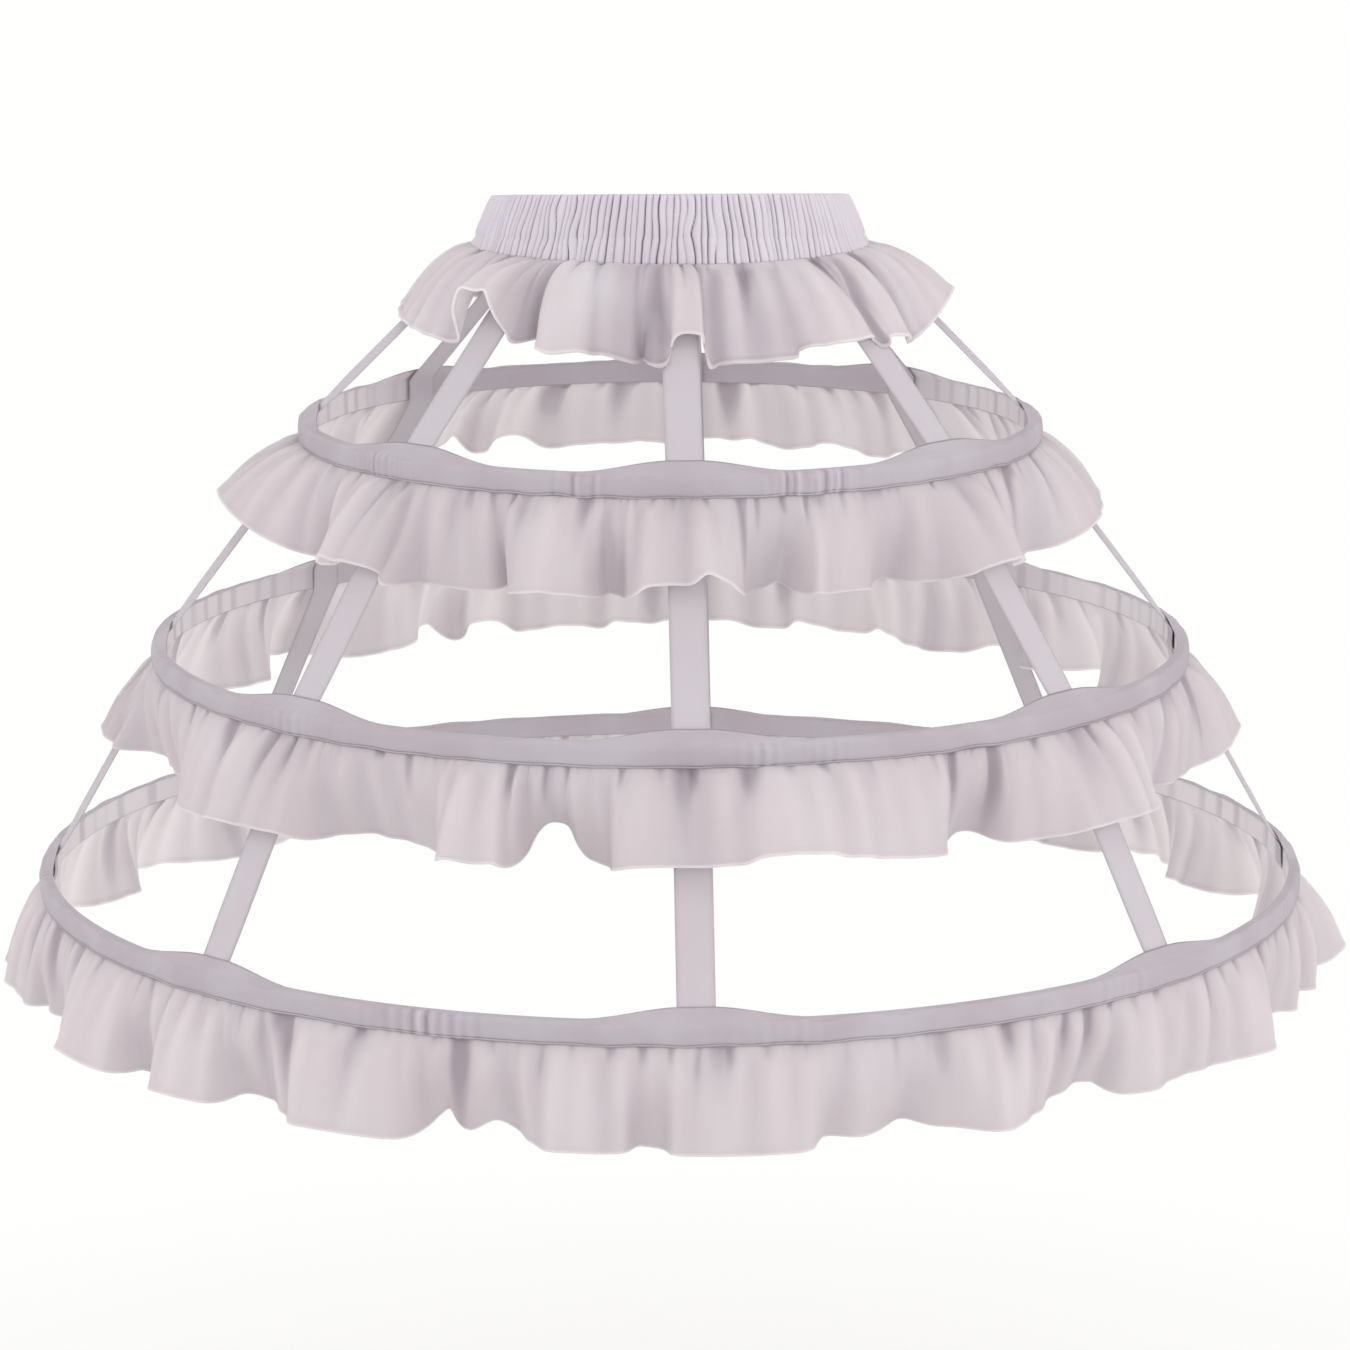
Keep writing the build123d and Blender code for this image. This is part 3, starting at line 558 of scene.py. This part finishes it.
def casing_grids(name, seed):
    """The outside of a casing and the tunnel in it, as closed grids.

    The section starts at the inner lower corner, runs out and up past the stitched groove, over the
    tent to its peak on the tape, and down the inside. Creases add small ripples to its radius.
    """
    radius, middle = hoop_radius[name], hoop_height[name]
    angle = ring(casing_columns)
    rise = tents(angle, radius)[:, None]
    order = hoop_names.index(name)
    above, edge = tape_lines[0, 2 * order : 2 * order + 2]
    lean = (edge[0] - above[0]) / (above[1] - edge[1])
    inset = np.array([6.7, 4.6, 2.4, 1.2, .62, .5, .95, .5, .22, .05, 0, 0, .1, .35, .8, 1.5, 2.2]) * mm
    level = [-7.2, -7.5, -7.3, -6.9, -6.3, -5.8, -5.4, -5, -4.2, -2.4, 0, 2, 3.6, 4.8, 5.8, 6.6, 7.1]
    level = np.array(level) * mm
    share = np.linspace(0, 1, 9)[1:][None, :]
    up = inset[-1] + (casing_thickness - inset[-1] + lean * tent_rise * rise) * share
    up_level = level[-1] + 0.2 * mm * share + tent_rise * rise * share
    up_level = up_level - 0.6 * mm * rise * np.sin(math.pi * share)
    back_share = np.linspace(0, 1, 5)[1:][None, :]
    down = up[:, -1:] + (casing_thickness - up[:, -1:]) * back_share + 0.3 * mm * np.sin(math.pi * back_share)
    down_level = up_level[:, -1:] + (6.9 * mm - up_level[:, -1:]) * back_share
    lining = np.array([7.12, 7.12, 7.1, 7.1, 7.05]) * mm
    lining_level = np.array([4.8, 2, -1, -4, -6.6]) * mm
    ones = np.ones((casing_columns, 1))
    insets = np.concatenate([inset * ones, up, down, lining * ones], 1)
    levels = np.concatenate([level * ones, up_level, down_level, lining_level * ones], 1)
    shirr = ripple(angle, 120, 360, seed) * np.clip(0.8 * ripple(angle, 3, 12, seed + 1) - 0.5, 0.06, 1.1)
    wide = ripple(angle, 30, 90, seed + 2)
    outside = step(-insets, -7.0 * mm, -1.0 * mm)
    lean_in = np.clip(levels / (8 * mm), -1, 1)
    creases = 0.32 * mm * shirr[:, None] + 0.22 * mm * wide[:, None]
    insets = insets - outside * creases * (1 - 0.6 * np.abs(lean_in))
    drawn = np.clip(ripple(angle, 40, 130, seed + 4) - 0.2, 0, 1.4)
    drawn = (drawn * np.clip(0.5 - np.cos(2 * angle), 0.1, 1.5))[:, None]
    insets[:, -len(lining) :] -= 0.4 * mm * drawn * np.array([1, 0.9, 0.6, 0.4, 0.2])
    levels = levels + 0.25 * mm * ripple(angle, 20, 70, seed + 3)[:, None] * outside
    # Painted light on the raised tents, and painted shade on the creases, the stitched groove and the foot
    # below it.
    tent_light = step(levels, 7 * mm, 9 * mm) * outside
    stitched = (np.abs(level - stitch_level) < 0.1 * mm) + 0.8 * (level < foot_level)
    fold = 0.35 + 0.3 * shirr[:, None] * outside + 0.5 * tent_light
    fold[:, : len(level)] -= 1.1 * stitched
    # Painted light on the casing's inside towards the two sides, less where painted shade marks its drawn
    # creases.
    lit = np.clip(0.45 - 0.9 * np.cos(2 * angle), 0, 1)[:, None]
    inside_rows = down.shape[1] + len(lining)
    fold[:, -inside_rows:] = 0.7 + 0.9 * lit - 0.22 * drawn
    fold = np.clip(fold, -1, 1.9)
    shell = around(angle[:, None], radius - insets, middle + levels)
    corners = np.array([5.9, 5.9, 5.9, 3.5, 1.2, 1.2, 1.2, 3.5]) * mm
    heights = np.array([-6.1, 0, 6.1, 6.1, 6.1, 0, -6.1, -6.1]) * mm
    tunnel = around(ring(tunnel_columns)[:, None], radius - corners, middle + heights)
    return [(shell, fold), (tunnel, 0.0)]


casing_seeds = {"upper": 40, "middle": 45, "lower": 50}
for name, seed in casing_seeds.items():
    cloth_pieces[name + "_casing"] = make_piece(name + "_casing_cloth", casing_grids(name, seed))


# %% [markdown]
# ## Waistband
#
# The band is one strip folded round a flat elastic and stitched above and below it. The elastic
# draws it up into narrow upright gathers, round on top and sharp between. A bump texture would give
# the band a smooth outline, so the gathers are shape: counted round the band, and each with a
# lean, a bend and a wander that change from place to place, as in sewn cloth.

# %% The surface of the waistband
gather_count = 172
gather_depth = 2.2 * mm
band_columns = 2400
channel_columns = 480
stitch_drop = 25.6 * mm


def band_radius(angle, height):
    """Radius of the band's outer cone, from the waist at its top edge to the seam at its foot."""
    share = (top_height(angle) - height) / (top_height(angle) - seam_height(angle))
    return waist_radius + (seam_radius - waist_radius) * share


def gathers(angle, drop):
    """Round ridges and sharp valleys, 1 on a ridge and 0 in a valley, for drops below the top.

    A gather's line leans, bends and wanders on its way down, by amounts that change round the band.
    """
    wander = 0.75 * ripple(angle, 15, 65, 61)[:, None]
    lean = (1.0 + 1.4 * ripple(angle, 5, 16, 62))[:, None] * drop / (30 * mm)
    bend = 0.6 * ripple(angle, 8, 30, 63)[:, None] * np.sin(full_turn * drop / (31 * mm))
    low = 0.7 * ripple(angle, 20, 60, 65)[:, None] * step(drop, 23 * mm, 27 * mm)
    phase = gather_count * angle[:, None] + wander + lean + bend + low
    return np.abs(np.cos(phase / 2)) ** 0.5


def waistband_grids():
    """The band's outside, over its top and down its inside, and the channel for the elastic."""
    angle = ring(band_columns)
    ones = np.ones((band_columns, 1))
    top, foot = top_height(angle)[:, None], seam_height(angle)[:, None]
    yoke = (top - foot - stitch_drop) * np.linspace(1, 0, 9)[None, :-1] + stitch_drop
    above = [25.6, 25.0, 24.2, 22, 19, 16, 13, 10, 7, 4.8, 3.6, 3.0, 2.5, 1.8, 1.0, 0.3]
    drop = np.concatenate([yoke, np.array(above) * mm * ones], 1)
    ridge = gathers(angle, drop)
    uneven = np.clip(1.0 + 0.3 * ripple(angle, 25, 110, 64), 0.4, 1.6)[:, None]
    stitched = np.exp(-(((drop - 25.3 * mm) / (1.4 * mm)) ** 2))
    held = stitched * (1 + 0.6 * ripple(angle, 4, 12, 66))[:, None] / 2
    depth = gather_depth * uneven * (1 - 0.3 * held) * (0.4 + 0.6 * step(drop, 0, 4 * mm))
    curl = 0.6 * mm * (1 - step(drop, 0, 1.2 * mm))
    radius = band_radius(angle[:, None], top - drop) + depth * (ridge - 0.7) - 0.5 * mm * held - curl
    puffed = 0.4 * mm * np.sin(math.pi * np.clip((drop - 3 * mm) / (22 * mm), 0, 1))
    outside = around(angle[:, None], radius + puffed, top - drop)
    lining = np.array([0.0, 0.5, 2, 3, 5, 10, 16, 22, 25.6, 28]) * mm
    lining = np.concatenate([lining * ones, top - foot - 1.5 * mm, top - foot], 1)
    thick = np.array([3.2, 5.6, 6.6, 6.7, 6.8, 6.8, 6.8, 6.8, 6.5, 4.6, 3.2, 3.0]) * mm
    lining_ridge = gathers(angle, lining)
    cone = band_radius(angle[:, None], top - lining)
    gathered = (gather_depth / 2) * (0.6 - lining_ridge) * step(lining, 0.4 * mm, 4 * mm)
    inside = around(angle[:, None], cone - thick + gathered, top - lining)
    shell = np.concatenate([outside, inside], 1)
    # Painted shade darkens the valleys between the gathers, on the outside and on the lining.
    deep = np.clip(1.9 * uneven * (0.66 - ridge), 0, 1.2)
    fold = np.concatenate([0.85 - 2.2 * deep, lining_ridge * 0.8], 1)
    few = ring(channel_columns)
    depths = np.array([4.8, 4.8, 4.8, 2.0, 2.0, 2.0]) * mm
    falls = np.array([24.8, 13.5, 2.2, 2.2, 13.5, 24.8]) * mm
    level = top_height(few)[:, None] - falls
    channel = around(few[:, None], band_radius(few[:, None], level) - depths, level)
    return [(shell, np.clip(fold, -1, 1)), (channel, 0.0)]


cloth_pieces["waistband"] = make_piece("waistband_cloth", waistband_grids())


# %% [markdown]
# ## Tapes
#
# A tape is narrow woven ribbon. A bevelled curve would do, but its edges couldn't curl, so its
# section is carried along its line here. Woven ribbon never lies dead flat: its edges curl, its
# runs ripple slightly, and it twists between the hoops, most at the two sides, where the tapes
# would otherwise show only an edge to the front.

# %% The surface of a tape
side_twist = math.radians(8)
tape_step = 2.5 * mm
sway_size = 0.35 * mm
curl_size = 0.4 * mm


def eased(reach, width):
    """Climbs from 0 where a tape is held to 1 at this width away, as a quarter of a sine wave."""
    return np.sin(np.clip(reach / width, 0, 1) * math.pi / 2)


def tape_surface(index):
    """A closed ribbon along one tape: its line, rounded at each bend, with a section carried along."""
    line = tape_lines[index]
    gaps = np.linalg.norm(np.diff(line, axis=0), axis=1)
    along = np.concatenate([[0], np.cumsum(gaps)])
    even = np.arange(0, along[-1], tape_step)
    even = np.append(even, along[-1])
    path = np.stack([np.interp(even, along, values) for values in line.T], 1)
    rounded = path.copy()
    rounded[1:-1] = (path[:-2] + 2 * path[1:-1] + path[2:]) / 4
    ahead = np.gradient(rounded, axis=0)
    ahead /= np.linalg.norm(ahead, axis=1, keepdims=True)
    outward = np.stack([-ahead[:, 1], ahead[:, 0]], 1)
    across = np.linspace(-1, 1, 11)
    half = tape_width / 2
    side = np.concatenate([across * half, across[::-1] * half])
    edge = 0.25 * mm * np.abs(across) ** 6
    face = np.concatenate([-0.05 * mm - edge * 0.5, -tape_thickness + 0.05 * mm + edge[::-1] * 0.5])
    turn = tape_angles[index]
    free = eased(np.minimum(even, along[-1] - even), 30 * mm)
    sway = -sway_size * free * (1 + np.cos(even / (57 * mm) + 2 * index))
    curl = -curl_size * free * (1 + np.cos(even / (83 * mm) + index))
    twist = side_twist * math.sin(turn) ** 3 * eased(np.abs(even[:, None] - along).min(1), 40 * mm)
    lift = sway[:, None] + curl[:, None] * (side[None, :] / half) ** 2 + face[None, :]
    lift = lift + np.tan(twist)[:, None] * side[None, :]
    radius = rounded[:, :1] + outward[:, :1] * lift
    level = rounded[:, 1:] + outward[:, 1:] * lift
    sides = np.broadcast_to(side[None, :], radius.shape)
    x = radius * math.sin(turn) + sides * math.cos(turn)
    y = -radius * math.cos(turn) + sides * math.sin(turn)
    fold = np.tile(1 - np.abs(across) ** 8, 2)
    return np.stack([x, y, level], -1), fold[None, :]


for index, name in enumerate(tape_names):
    ribbon = [tape_surface(index)]
    cloth_pieces[name + "_tape"] = make_piece(name + "_tape_cloth", ribbon, ends="capped")


# %% [markdown]
# ## Finishes
#
# Shader nodes are easiest to read as sums, so one small class wraps a node's socket and turns each
# operator into a Math node. Colours never pass through one, because it would turn them grey.

# %% Shader values as expressions
class Value:
    """One varying number or colour of a finish, on which + - and * work."""

    def __init__(self, finish, socket):
        self.finish = finish
        self.socket = socket

    def maths(self, operation, first, second):
        """A new Math node of this operation, on two values or numbers."""
        return self.finish.node("ShaderNodeMath", {0: first, 1: second}, operation=operation)

    def __add__(self, other):
        return self.maths("ADD", self, other)

    def __sub__(self, other):
        return self.maths("SUBTRACT", self, other)

    def __mul__(self, other):
        return self.maths("MULTIPLY", self, other)

    __radd__ = __add__


class Finish:
    """The nodes of a new material, or of the world, all added by one method."""

    def __init__(self, name, world=None):
        self.owner = world or bpy.data.materials.new(name)
        self.owner.use_nodes = True
        self.tree = self.owner.node_tree
        self.tree.nodes.clear()

    def node(self, kind, inputs=None, output=0, **settings):
        """Adds a node: first its settings, then the value or link of each socket named in inputs."""
        made = self.tree.nodes.new(kind)
        for setting, value in settings.items():
            setattr(made, setting, value)
        for socket, value in (inputs or {}).items():
            if isinstance(value, Value):
                self.tree.links.new(value.socket, made.inputs[socket])
            else:
                made.inputs[socket].default_value = value
        return Value(self, made.outputs[output])

    def noise(self, scale, detail=2.0):
        """Noise on Object coordinates, in cycles for each metre."""
        place = self.node("ShaderNodeTexCoord", output="Object")
        inputs = {"Vector": place, "Scale": scale, "Detail": detail, "Roughness": 0.55}
        return self.node("ShaderNodeTexNoise", inputs)

    def blend(self, factor, first, second):
        """A colour between two others."""
        inputs = {0: factor, 6: first, 7: second}
        return self.node("ShaderNodeMix", inputs, output=2, data_type="RGBA")

    def sine(self, value, spacing):
        """A wave from -1 to 1 that repeats at this spacing."""
        turned = value * (full_turn / spacing)
        return self.node("ShaderNodeMath", {0: turned}, operation="SINE")

    def part(self, vector, axis):
        """One of a vector's three numbers."""
        return self.node("ShaderNodeSeparateXYZ", {"Vector": vector}, output=axis)

    def surface(self, shader, kind="Material"):
        """Ends the material, or the world, in this shader."""
        output = self.tree.nodes.new("ShaderNodeOutput" + kind)
        self.tree.links.new(shader.socket, output.inputs["Surface"])
        return self.owner


# %% [markdown]
# ## Woven cloth
#
# White cotton looks white only in strong light: here its crests get a painted light of warm pale
# pink-grey and its valleys a painted shade of lavender, with cooler patches. Sharp tucks and
# stitched lines get a dark painted shade, and hems and lit insides a bright painted light. One plain
# white would leave the folds too faint in such soft light. Light also comes through thin cloth, so
# each finish mixes some Translucent into its Principled shader. The threads are too fine to model,
# so two sine waves on the UV map raise them in a Bump node.

# %% Cloth finishes
# Painted light and shade: the inner tone brightens lit insides and hem edges, and the line tones darken
# tucks, grooves and seams.
inner_light_tone = (0.945, 0.91, 0.92)
line_shade = (0.27, 0.22, 0.27)
deepest_line_shade = (0.17, 0.13, 0.18)
weave = 0.5 * mm
ribbed = 0.9 * mm


def woven(name, crest, valley, cool, line, thread, through_light):
    """Plain-woven cloth: painted shade in the valleys to painted light on the crests by the fold attribute,
    drifting to a cooler tone in patches.

    Above 1 the attribute turns it to the bright painted light of the inner tone, and below 0 to the painted
    shade of the line tone.
    """
    finish = Finish(name)
    fold = finish.node("ShaderNodeAttribute", output="Fac", attribute_name="fold")
    patches = finish.noise(20.0, 3.0)
    grain = finish.noise(420.0, 2.0)
    shade = finish.blend(fold * 0.8 + patches * 0.5 - 0.15, (*valley, 1), (*crest, 1))
    shade = finish.blend((patches - 0.42) * 1.6, shade, (*cool, 1))
    shade = finish.blend((grain - 0.5) * 0.25, shade, (*valley, 1))
    shade = finish.blend(fold - 1, shade, (*inner_light_tone, 1))
    shade = finish.blend(fold * -1, shade, (*line, 1))
    place = finish.node("ShaderNodeUVMap", uv_map="cloth")
    u = finish.part(place, "X")
    v = finish.part(place, "Y")
    threads = finish.sine(u, thread) * finish.sine(v, thread) + grain * 0.8
    bump = {"Height": threads, "Distance": 0.1 * thread, "Strength": 0.6}
    normal = finish.node("ShaderNodeBump", bump)
    inputs = {"Base Color": shade, "Roughness": grain * 0.1 + 0.84, "Normal": normal}
    inputs.update({"Sheen Weight": 0.12, "Sheen Roughness": 0.5, "Specular IOR Level": 0.2})
    cloth = finish.node("ShaderNodeBsdfPrincipled", inputs)
    glow = finish.node("ShaderNodeBsdfTranslucent", {"Color": (*inner_light_tone, 1), "Normal": normal})
    both = finish.node("ShaderNodeMixShader", {0: through_light, 1: cloth, 2: glow})
    return finish.surface(both)


# One white cotton throughout: these tones are lit and shaded copies of it, with painted shade darkest on the
# upright casings.
lit_and_shaded_tones = {
    "waist_frill": ((0.71, 0.655, 0.675), (0.56, 0.51, 0.55), (0.67, 0.675, 0.715)),
    "frill": ((0.62, 0.57, 0.59), (0.49, 0.45, 0.49), (0.56, 0.565, 0.605)),
    "waistband": ((0.70, 0.65, 0.71), (0.50, 0.45, 0.52), (0.69, 0.675, 0.715)),
    "casing": ((0.55, 0.495, 0.535), (0.41, 0.365, 0.41), (0.515, 0.51, 0.55)),
    "tape": ((0.58, 0.54, 0.575), (0.50, 0.46, 0.50), (0.55, 0.535, 0.58)),
}
finishes = {
    "waist_frill": woven("Waist frill cloth", *lit_and_shaded_tones["waist_frill"], line_shade, weave, 0.4),
    "frill": woven("Frill cloth", *lit_and_shaded_tones["frill"], line_shade, weave, 0.52),
    "waistband": woven("Waistband cloth", *lit_and_shaded_tones["waistband"], deepest_line_shade, weave, 0.1),
    "casing": woven("Casing cloth", *lit_and_shaded_tones["casing"], deepest_line_shade, weave, 0.1),
    "tape": woven("Woven tape", *lit_and_shaded_tones["tape"], line_shade, ribbed, 0.15),
}
print("Finishes:", [material.name for material in bpy.data.materials])


# %% [markdown]
# ## Smooth strip and elastic
#
# The bones, their joiners and the elastic stay as the measured solids, because their shape is
# already right. They lie inside the cloth and only need finishes: faintly grained plastic for
# the strip and sleeve, and ribbed cords for the elastic.

# %% Finishes for the solids inside
elastic_tilt = 0.104


def moulded(name, tone, rough, coat):
    """Smooth plastic with faint streaks and a soft gloss."""
    finish = Finish(name)
    streaks = finish.noise(60.0, 3.0)
    shade = finish.blend(streaks, (*tone, 1), (tone[0] * 0.92, tone[1] * 0.93, tone[2] * 0.93, 1))
    normal = finish.node("ShaderNodeBump", {"Height": streaks, "Distance": 0.05 * mm, "Strength": 0.4})
    inputs = {"Base Color": shade, "Roughness": rough + streaks * 0.12, "Normal": normal, "Coat Weight": coat}
    return finish.surface(finish.node("ShaderNodeBsdfPrincipled", inputs))


def elastic_ribs():
    """Flat elastic: fine ribs that run round the waist, and covered rubber between them."""
    finish = Finish("Flat elastic")
    place = finish.node("ShaderNodeTexCoord", output="Object")
    height = finish.part(place, "Z")
    across = finish.part(place, "Y")
    ribs = finish.sine(height + across * elastic_tilt, 1.5 * mm) * 0.5 + 0.5
    fuzz = finish.noise(700.0, 2.0)
    shade = finish.blend(ribs, (0.62, 0.6, 0.62, 1), (0.8, 0.78, 0.79, 1))
    normal = finish.node("ShaderNodeBump", {"Height": ribs + fuzz * 0.3, "Distance": 0.2 * mm})
    inputs = {"Base Color": shade, "Roughness": 0.75 + fuzz * 0.15, "Normal": normal}
    return finish.surface(finish.node("ShaderNodeBsdfPrincipled", inputs))


inner_finishes = {"bone": moulded("Boning strip", (0.82, 0.82, 0.79), 0.35, 0.2)}
inner_finishes["joiner"] = moulded("Joiner sleeve", (0.78, 0.79, 0.78), 0.25, 0.3)
inner_finishes["elastic"] = elastic_ribs()
for name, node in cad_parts.items():
    kind = name.split("_")[-1]
    if kind in inner_finishes:
        node.data.materials.clear()
        node.data.materials.append(inner_finishes[kind])
print("Finished inside:", sorted(inner_finishes))


# %% [markdown]
# ## Tying the cloth to the frame
#
# Each cloth piece replaces its solid and rides on the one rigid body. Each was cut from a sheet:
# a frill from a strip as long as its hem, a casing from a folded strip, the band from a strip a
# quarter longer than the waist, and a tape from its ribbon.

# %% Finish and attach every piece
for name, piece in cloth_pieces.items():
    kind = name.split("_")[-1]
    piece.data.materials.append(finishes.get(name, finishes[kind]))
    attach(piece, "root")
    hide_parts(name)
    if kind == "frill":
        where = name.split("_")[0]
        rest = "waistband_cloth" if where == "waist" else where + "_casing_cloth"
    elif kind == "casing":
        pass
    elif kind == "tape":
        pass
    else:
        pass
print("Tied:", len(cloth_pieces), "pieces of cloth")


# %% [markdown]
# ## Floor and background
#
# The cage hangs at waist height, so the plain floor is a metre below the waist. The white behind it
# could be a bright wall, but a wall would flood the thin cloth with light. It comes from the world
# and the far floor instead, for camera, glossy and transmitted rays only, and lights nothing.

# %% The floor and the white behind
floor_level = -1.0
floor_size = 14.0
white = (1, 1, 0.985, 1)


def seen_straight(finish):
    """1 for camera, glossy and transmitted rays, and 0 for the rest."""
    path = "ShaderNodeLightPath"
    camera = finish.node(path, output="Is Camera Ray")
    glossy = finish.node(path, output="Is Glossy Ray")
    passed = finish.node(path, output="Is Transmission Ray")
    return finish.node("ShaderNodeClamp", {0: camera + glossy + passed})


def floor_finish():
    """Pale matt floor near the cage, fading to plain white far out for the rays that look at it."""
    finish = Finish("Pale floor")
    place = finish.node("ShaderNodeTexCoord", output="Object")
    far = finish.node("ShaderNodeVectorMath", {0: place}, output="Value", operation="LENGTH")
    reach = {0: far, 1: 0.9, 2: 1.6}
    share = finish.node("ShaderNodeMapRange", reach, interpolation_type="SMOOTHSTEP")
    speck = finish.noise(30.0, 3.0)
    shade = finish.blend(speck, (0.86, 0.86, 0.85, 1), (0.88, 0.88, 0.87, 1))
    inputs = {"Base Color": shade, "Roughness": 0.9, "Specular IOR Level": 0.1}
    matt = finish.node("ShaderNodeBsdfPrincipled", inputs)
    plain = finish.node("ShaderNodeEmission", {"Color": white, "Strength": 1.0})
    mixed = finish.node("ShaderNodeMixShader", {0: share * seen_straight(finish), 1: matt, 2: plain})
    return finish.surface(mixed)


floor_mesh = bpy.data.meshes.new("floor")
floor_x, floor_y = np.meshgrid([-floor_size, floor_size], [-floor_size, floor_size])
floor_spots = np.stack([floor_x.ravel(), floor_y.ravel(), np.full(4, floor_level)], 1)
floor_mesh.from_pydata(floor_spots.tolist(), [], [(0, 1, 3, 2)])
floor_mesh.materials.append(floor_finish())
floor = bpy.data.objects.new("floor", floor_mesh)
bpy.context.scene.collection.objects.link(floor)

world = bpy.data.worlds.new("White studio")
bpy.context.scene.world = world
sky = Finish("sky", world)
plain = sky.node("ShaderNodeBackground", {"Color": (1.0, 0.99, 1.0, 1), "Strength": 0.68})
clear = sky.node("ShaderNodeBackground", {"Color": white, "Strength": 1.0})
sky.surface(sky.node("ShaderNodeMixShader", {0: seen_straight(sky), 1: plain, 2: clear}), "World")
print("Floor at", floor_level, "m and white world set")


# %% [markdown]
# ## Light
#
# White cloth shows its folds by small differences. One strong lamp would cut the frills into black
# and white, so five large, weak area lamps stand round the cage.

# %% Soft lamps
cage_middle = -0.2
front_tint = (1.0, 0.985, 0.97)
side_tint = (1.0, 0.98, 0.97)


def soft_lamp(name, spot, size, power, tint):
    """A square lamp at this spot that faces the middle of the cage."""
    lamp = bpy.data.lights.new(name, "AREA")
    lamp.size = size
    lamp.energy = power
    lamp.color = tint
    holder = bpy.data.objects.new(name, lamp)
    x, y, z = spot
    holder.location = spot
    holder.rotation_euler = (math.atan2(math.hypot(x, y), z - cage_middle), 0, math.atan2(x, -y))
    bpy.context.scene.collection.objects.link(holder)


soft_lamp("high_front_lamp", (-0.7, -2.2, 2.4), 2.2, 14, front_tint)
soft_lamp("low_front_lamp", (0.5, -2.9, 0.5), 1.6, 26, front_tint)
soft_lamp("overhead_lamp", (0.0, 0.3, 2.6), 2.6, 14, (1.0, 0.99, 1.0))
soft_lamp("right_lamp", (2.6, -0.6, 0.6), 1.8, 24, side_tint)
soft_lamp("left_lamp", (-2.6, -0.2, 0.5), 1.8, 24, side_tint)
print("Lamps:", len(bpy.data.lights))


# %% [markdown]
# ## Camera
#
# The eye is nearly three metres away, a little above the waist, and looks slightly down. From
# further off the hoops would look flatter. This place and lens were fitted to how round the three
# hoops look. The Standard view keeps white cloth white, where the usual view would grey it.

# %% Camera and view
camera = bpy.data.cameras.new("camera")
camera.sensor_width = 36.0
camera.lens = 126.44
camera_holder = bpy.data.objects.new("camera", camera)
camera_holder.location = (-0.1095, -2.9280, 0.338)
camera_holder.rotation_euler = (math.radians(77.9), 0, math.radians(-2.2))
bpy.context.scene.collection.objects.link(camera_holder)
bpy.context.scene.camera = camera_holder
bpy.context.scene.view_settings.view_transform = "Standard"
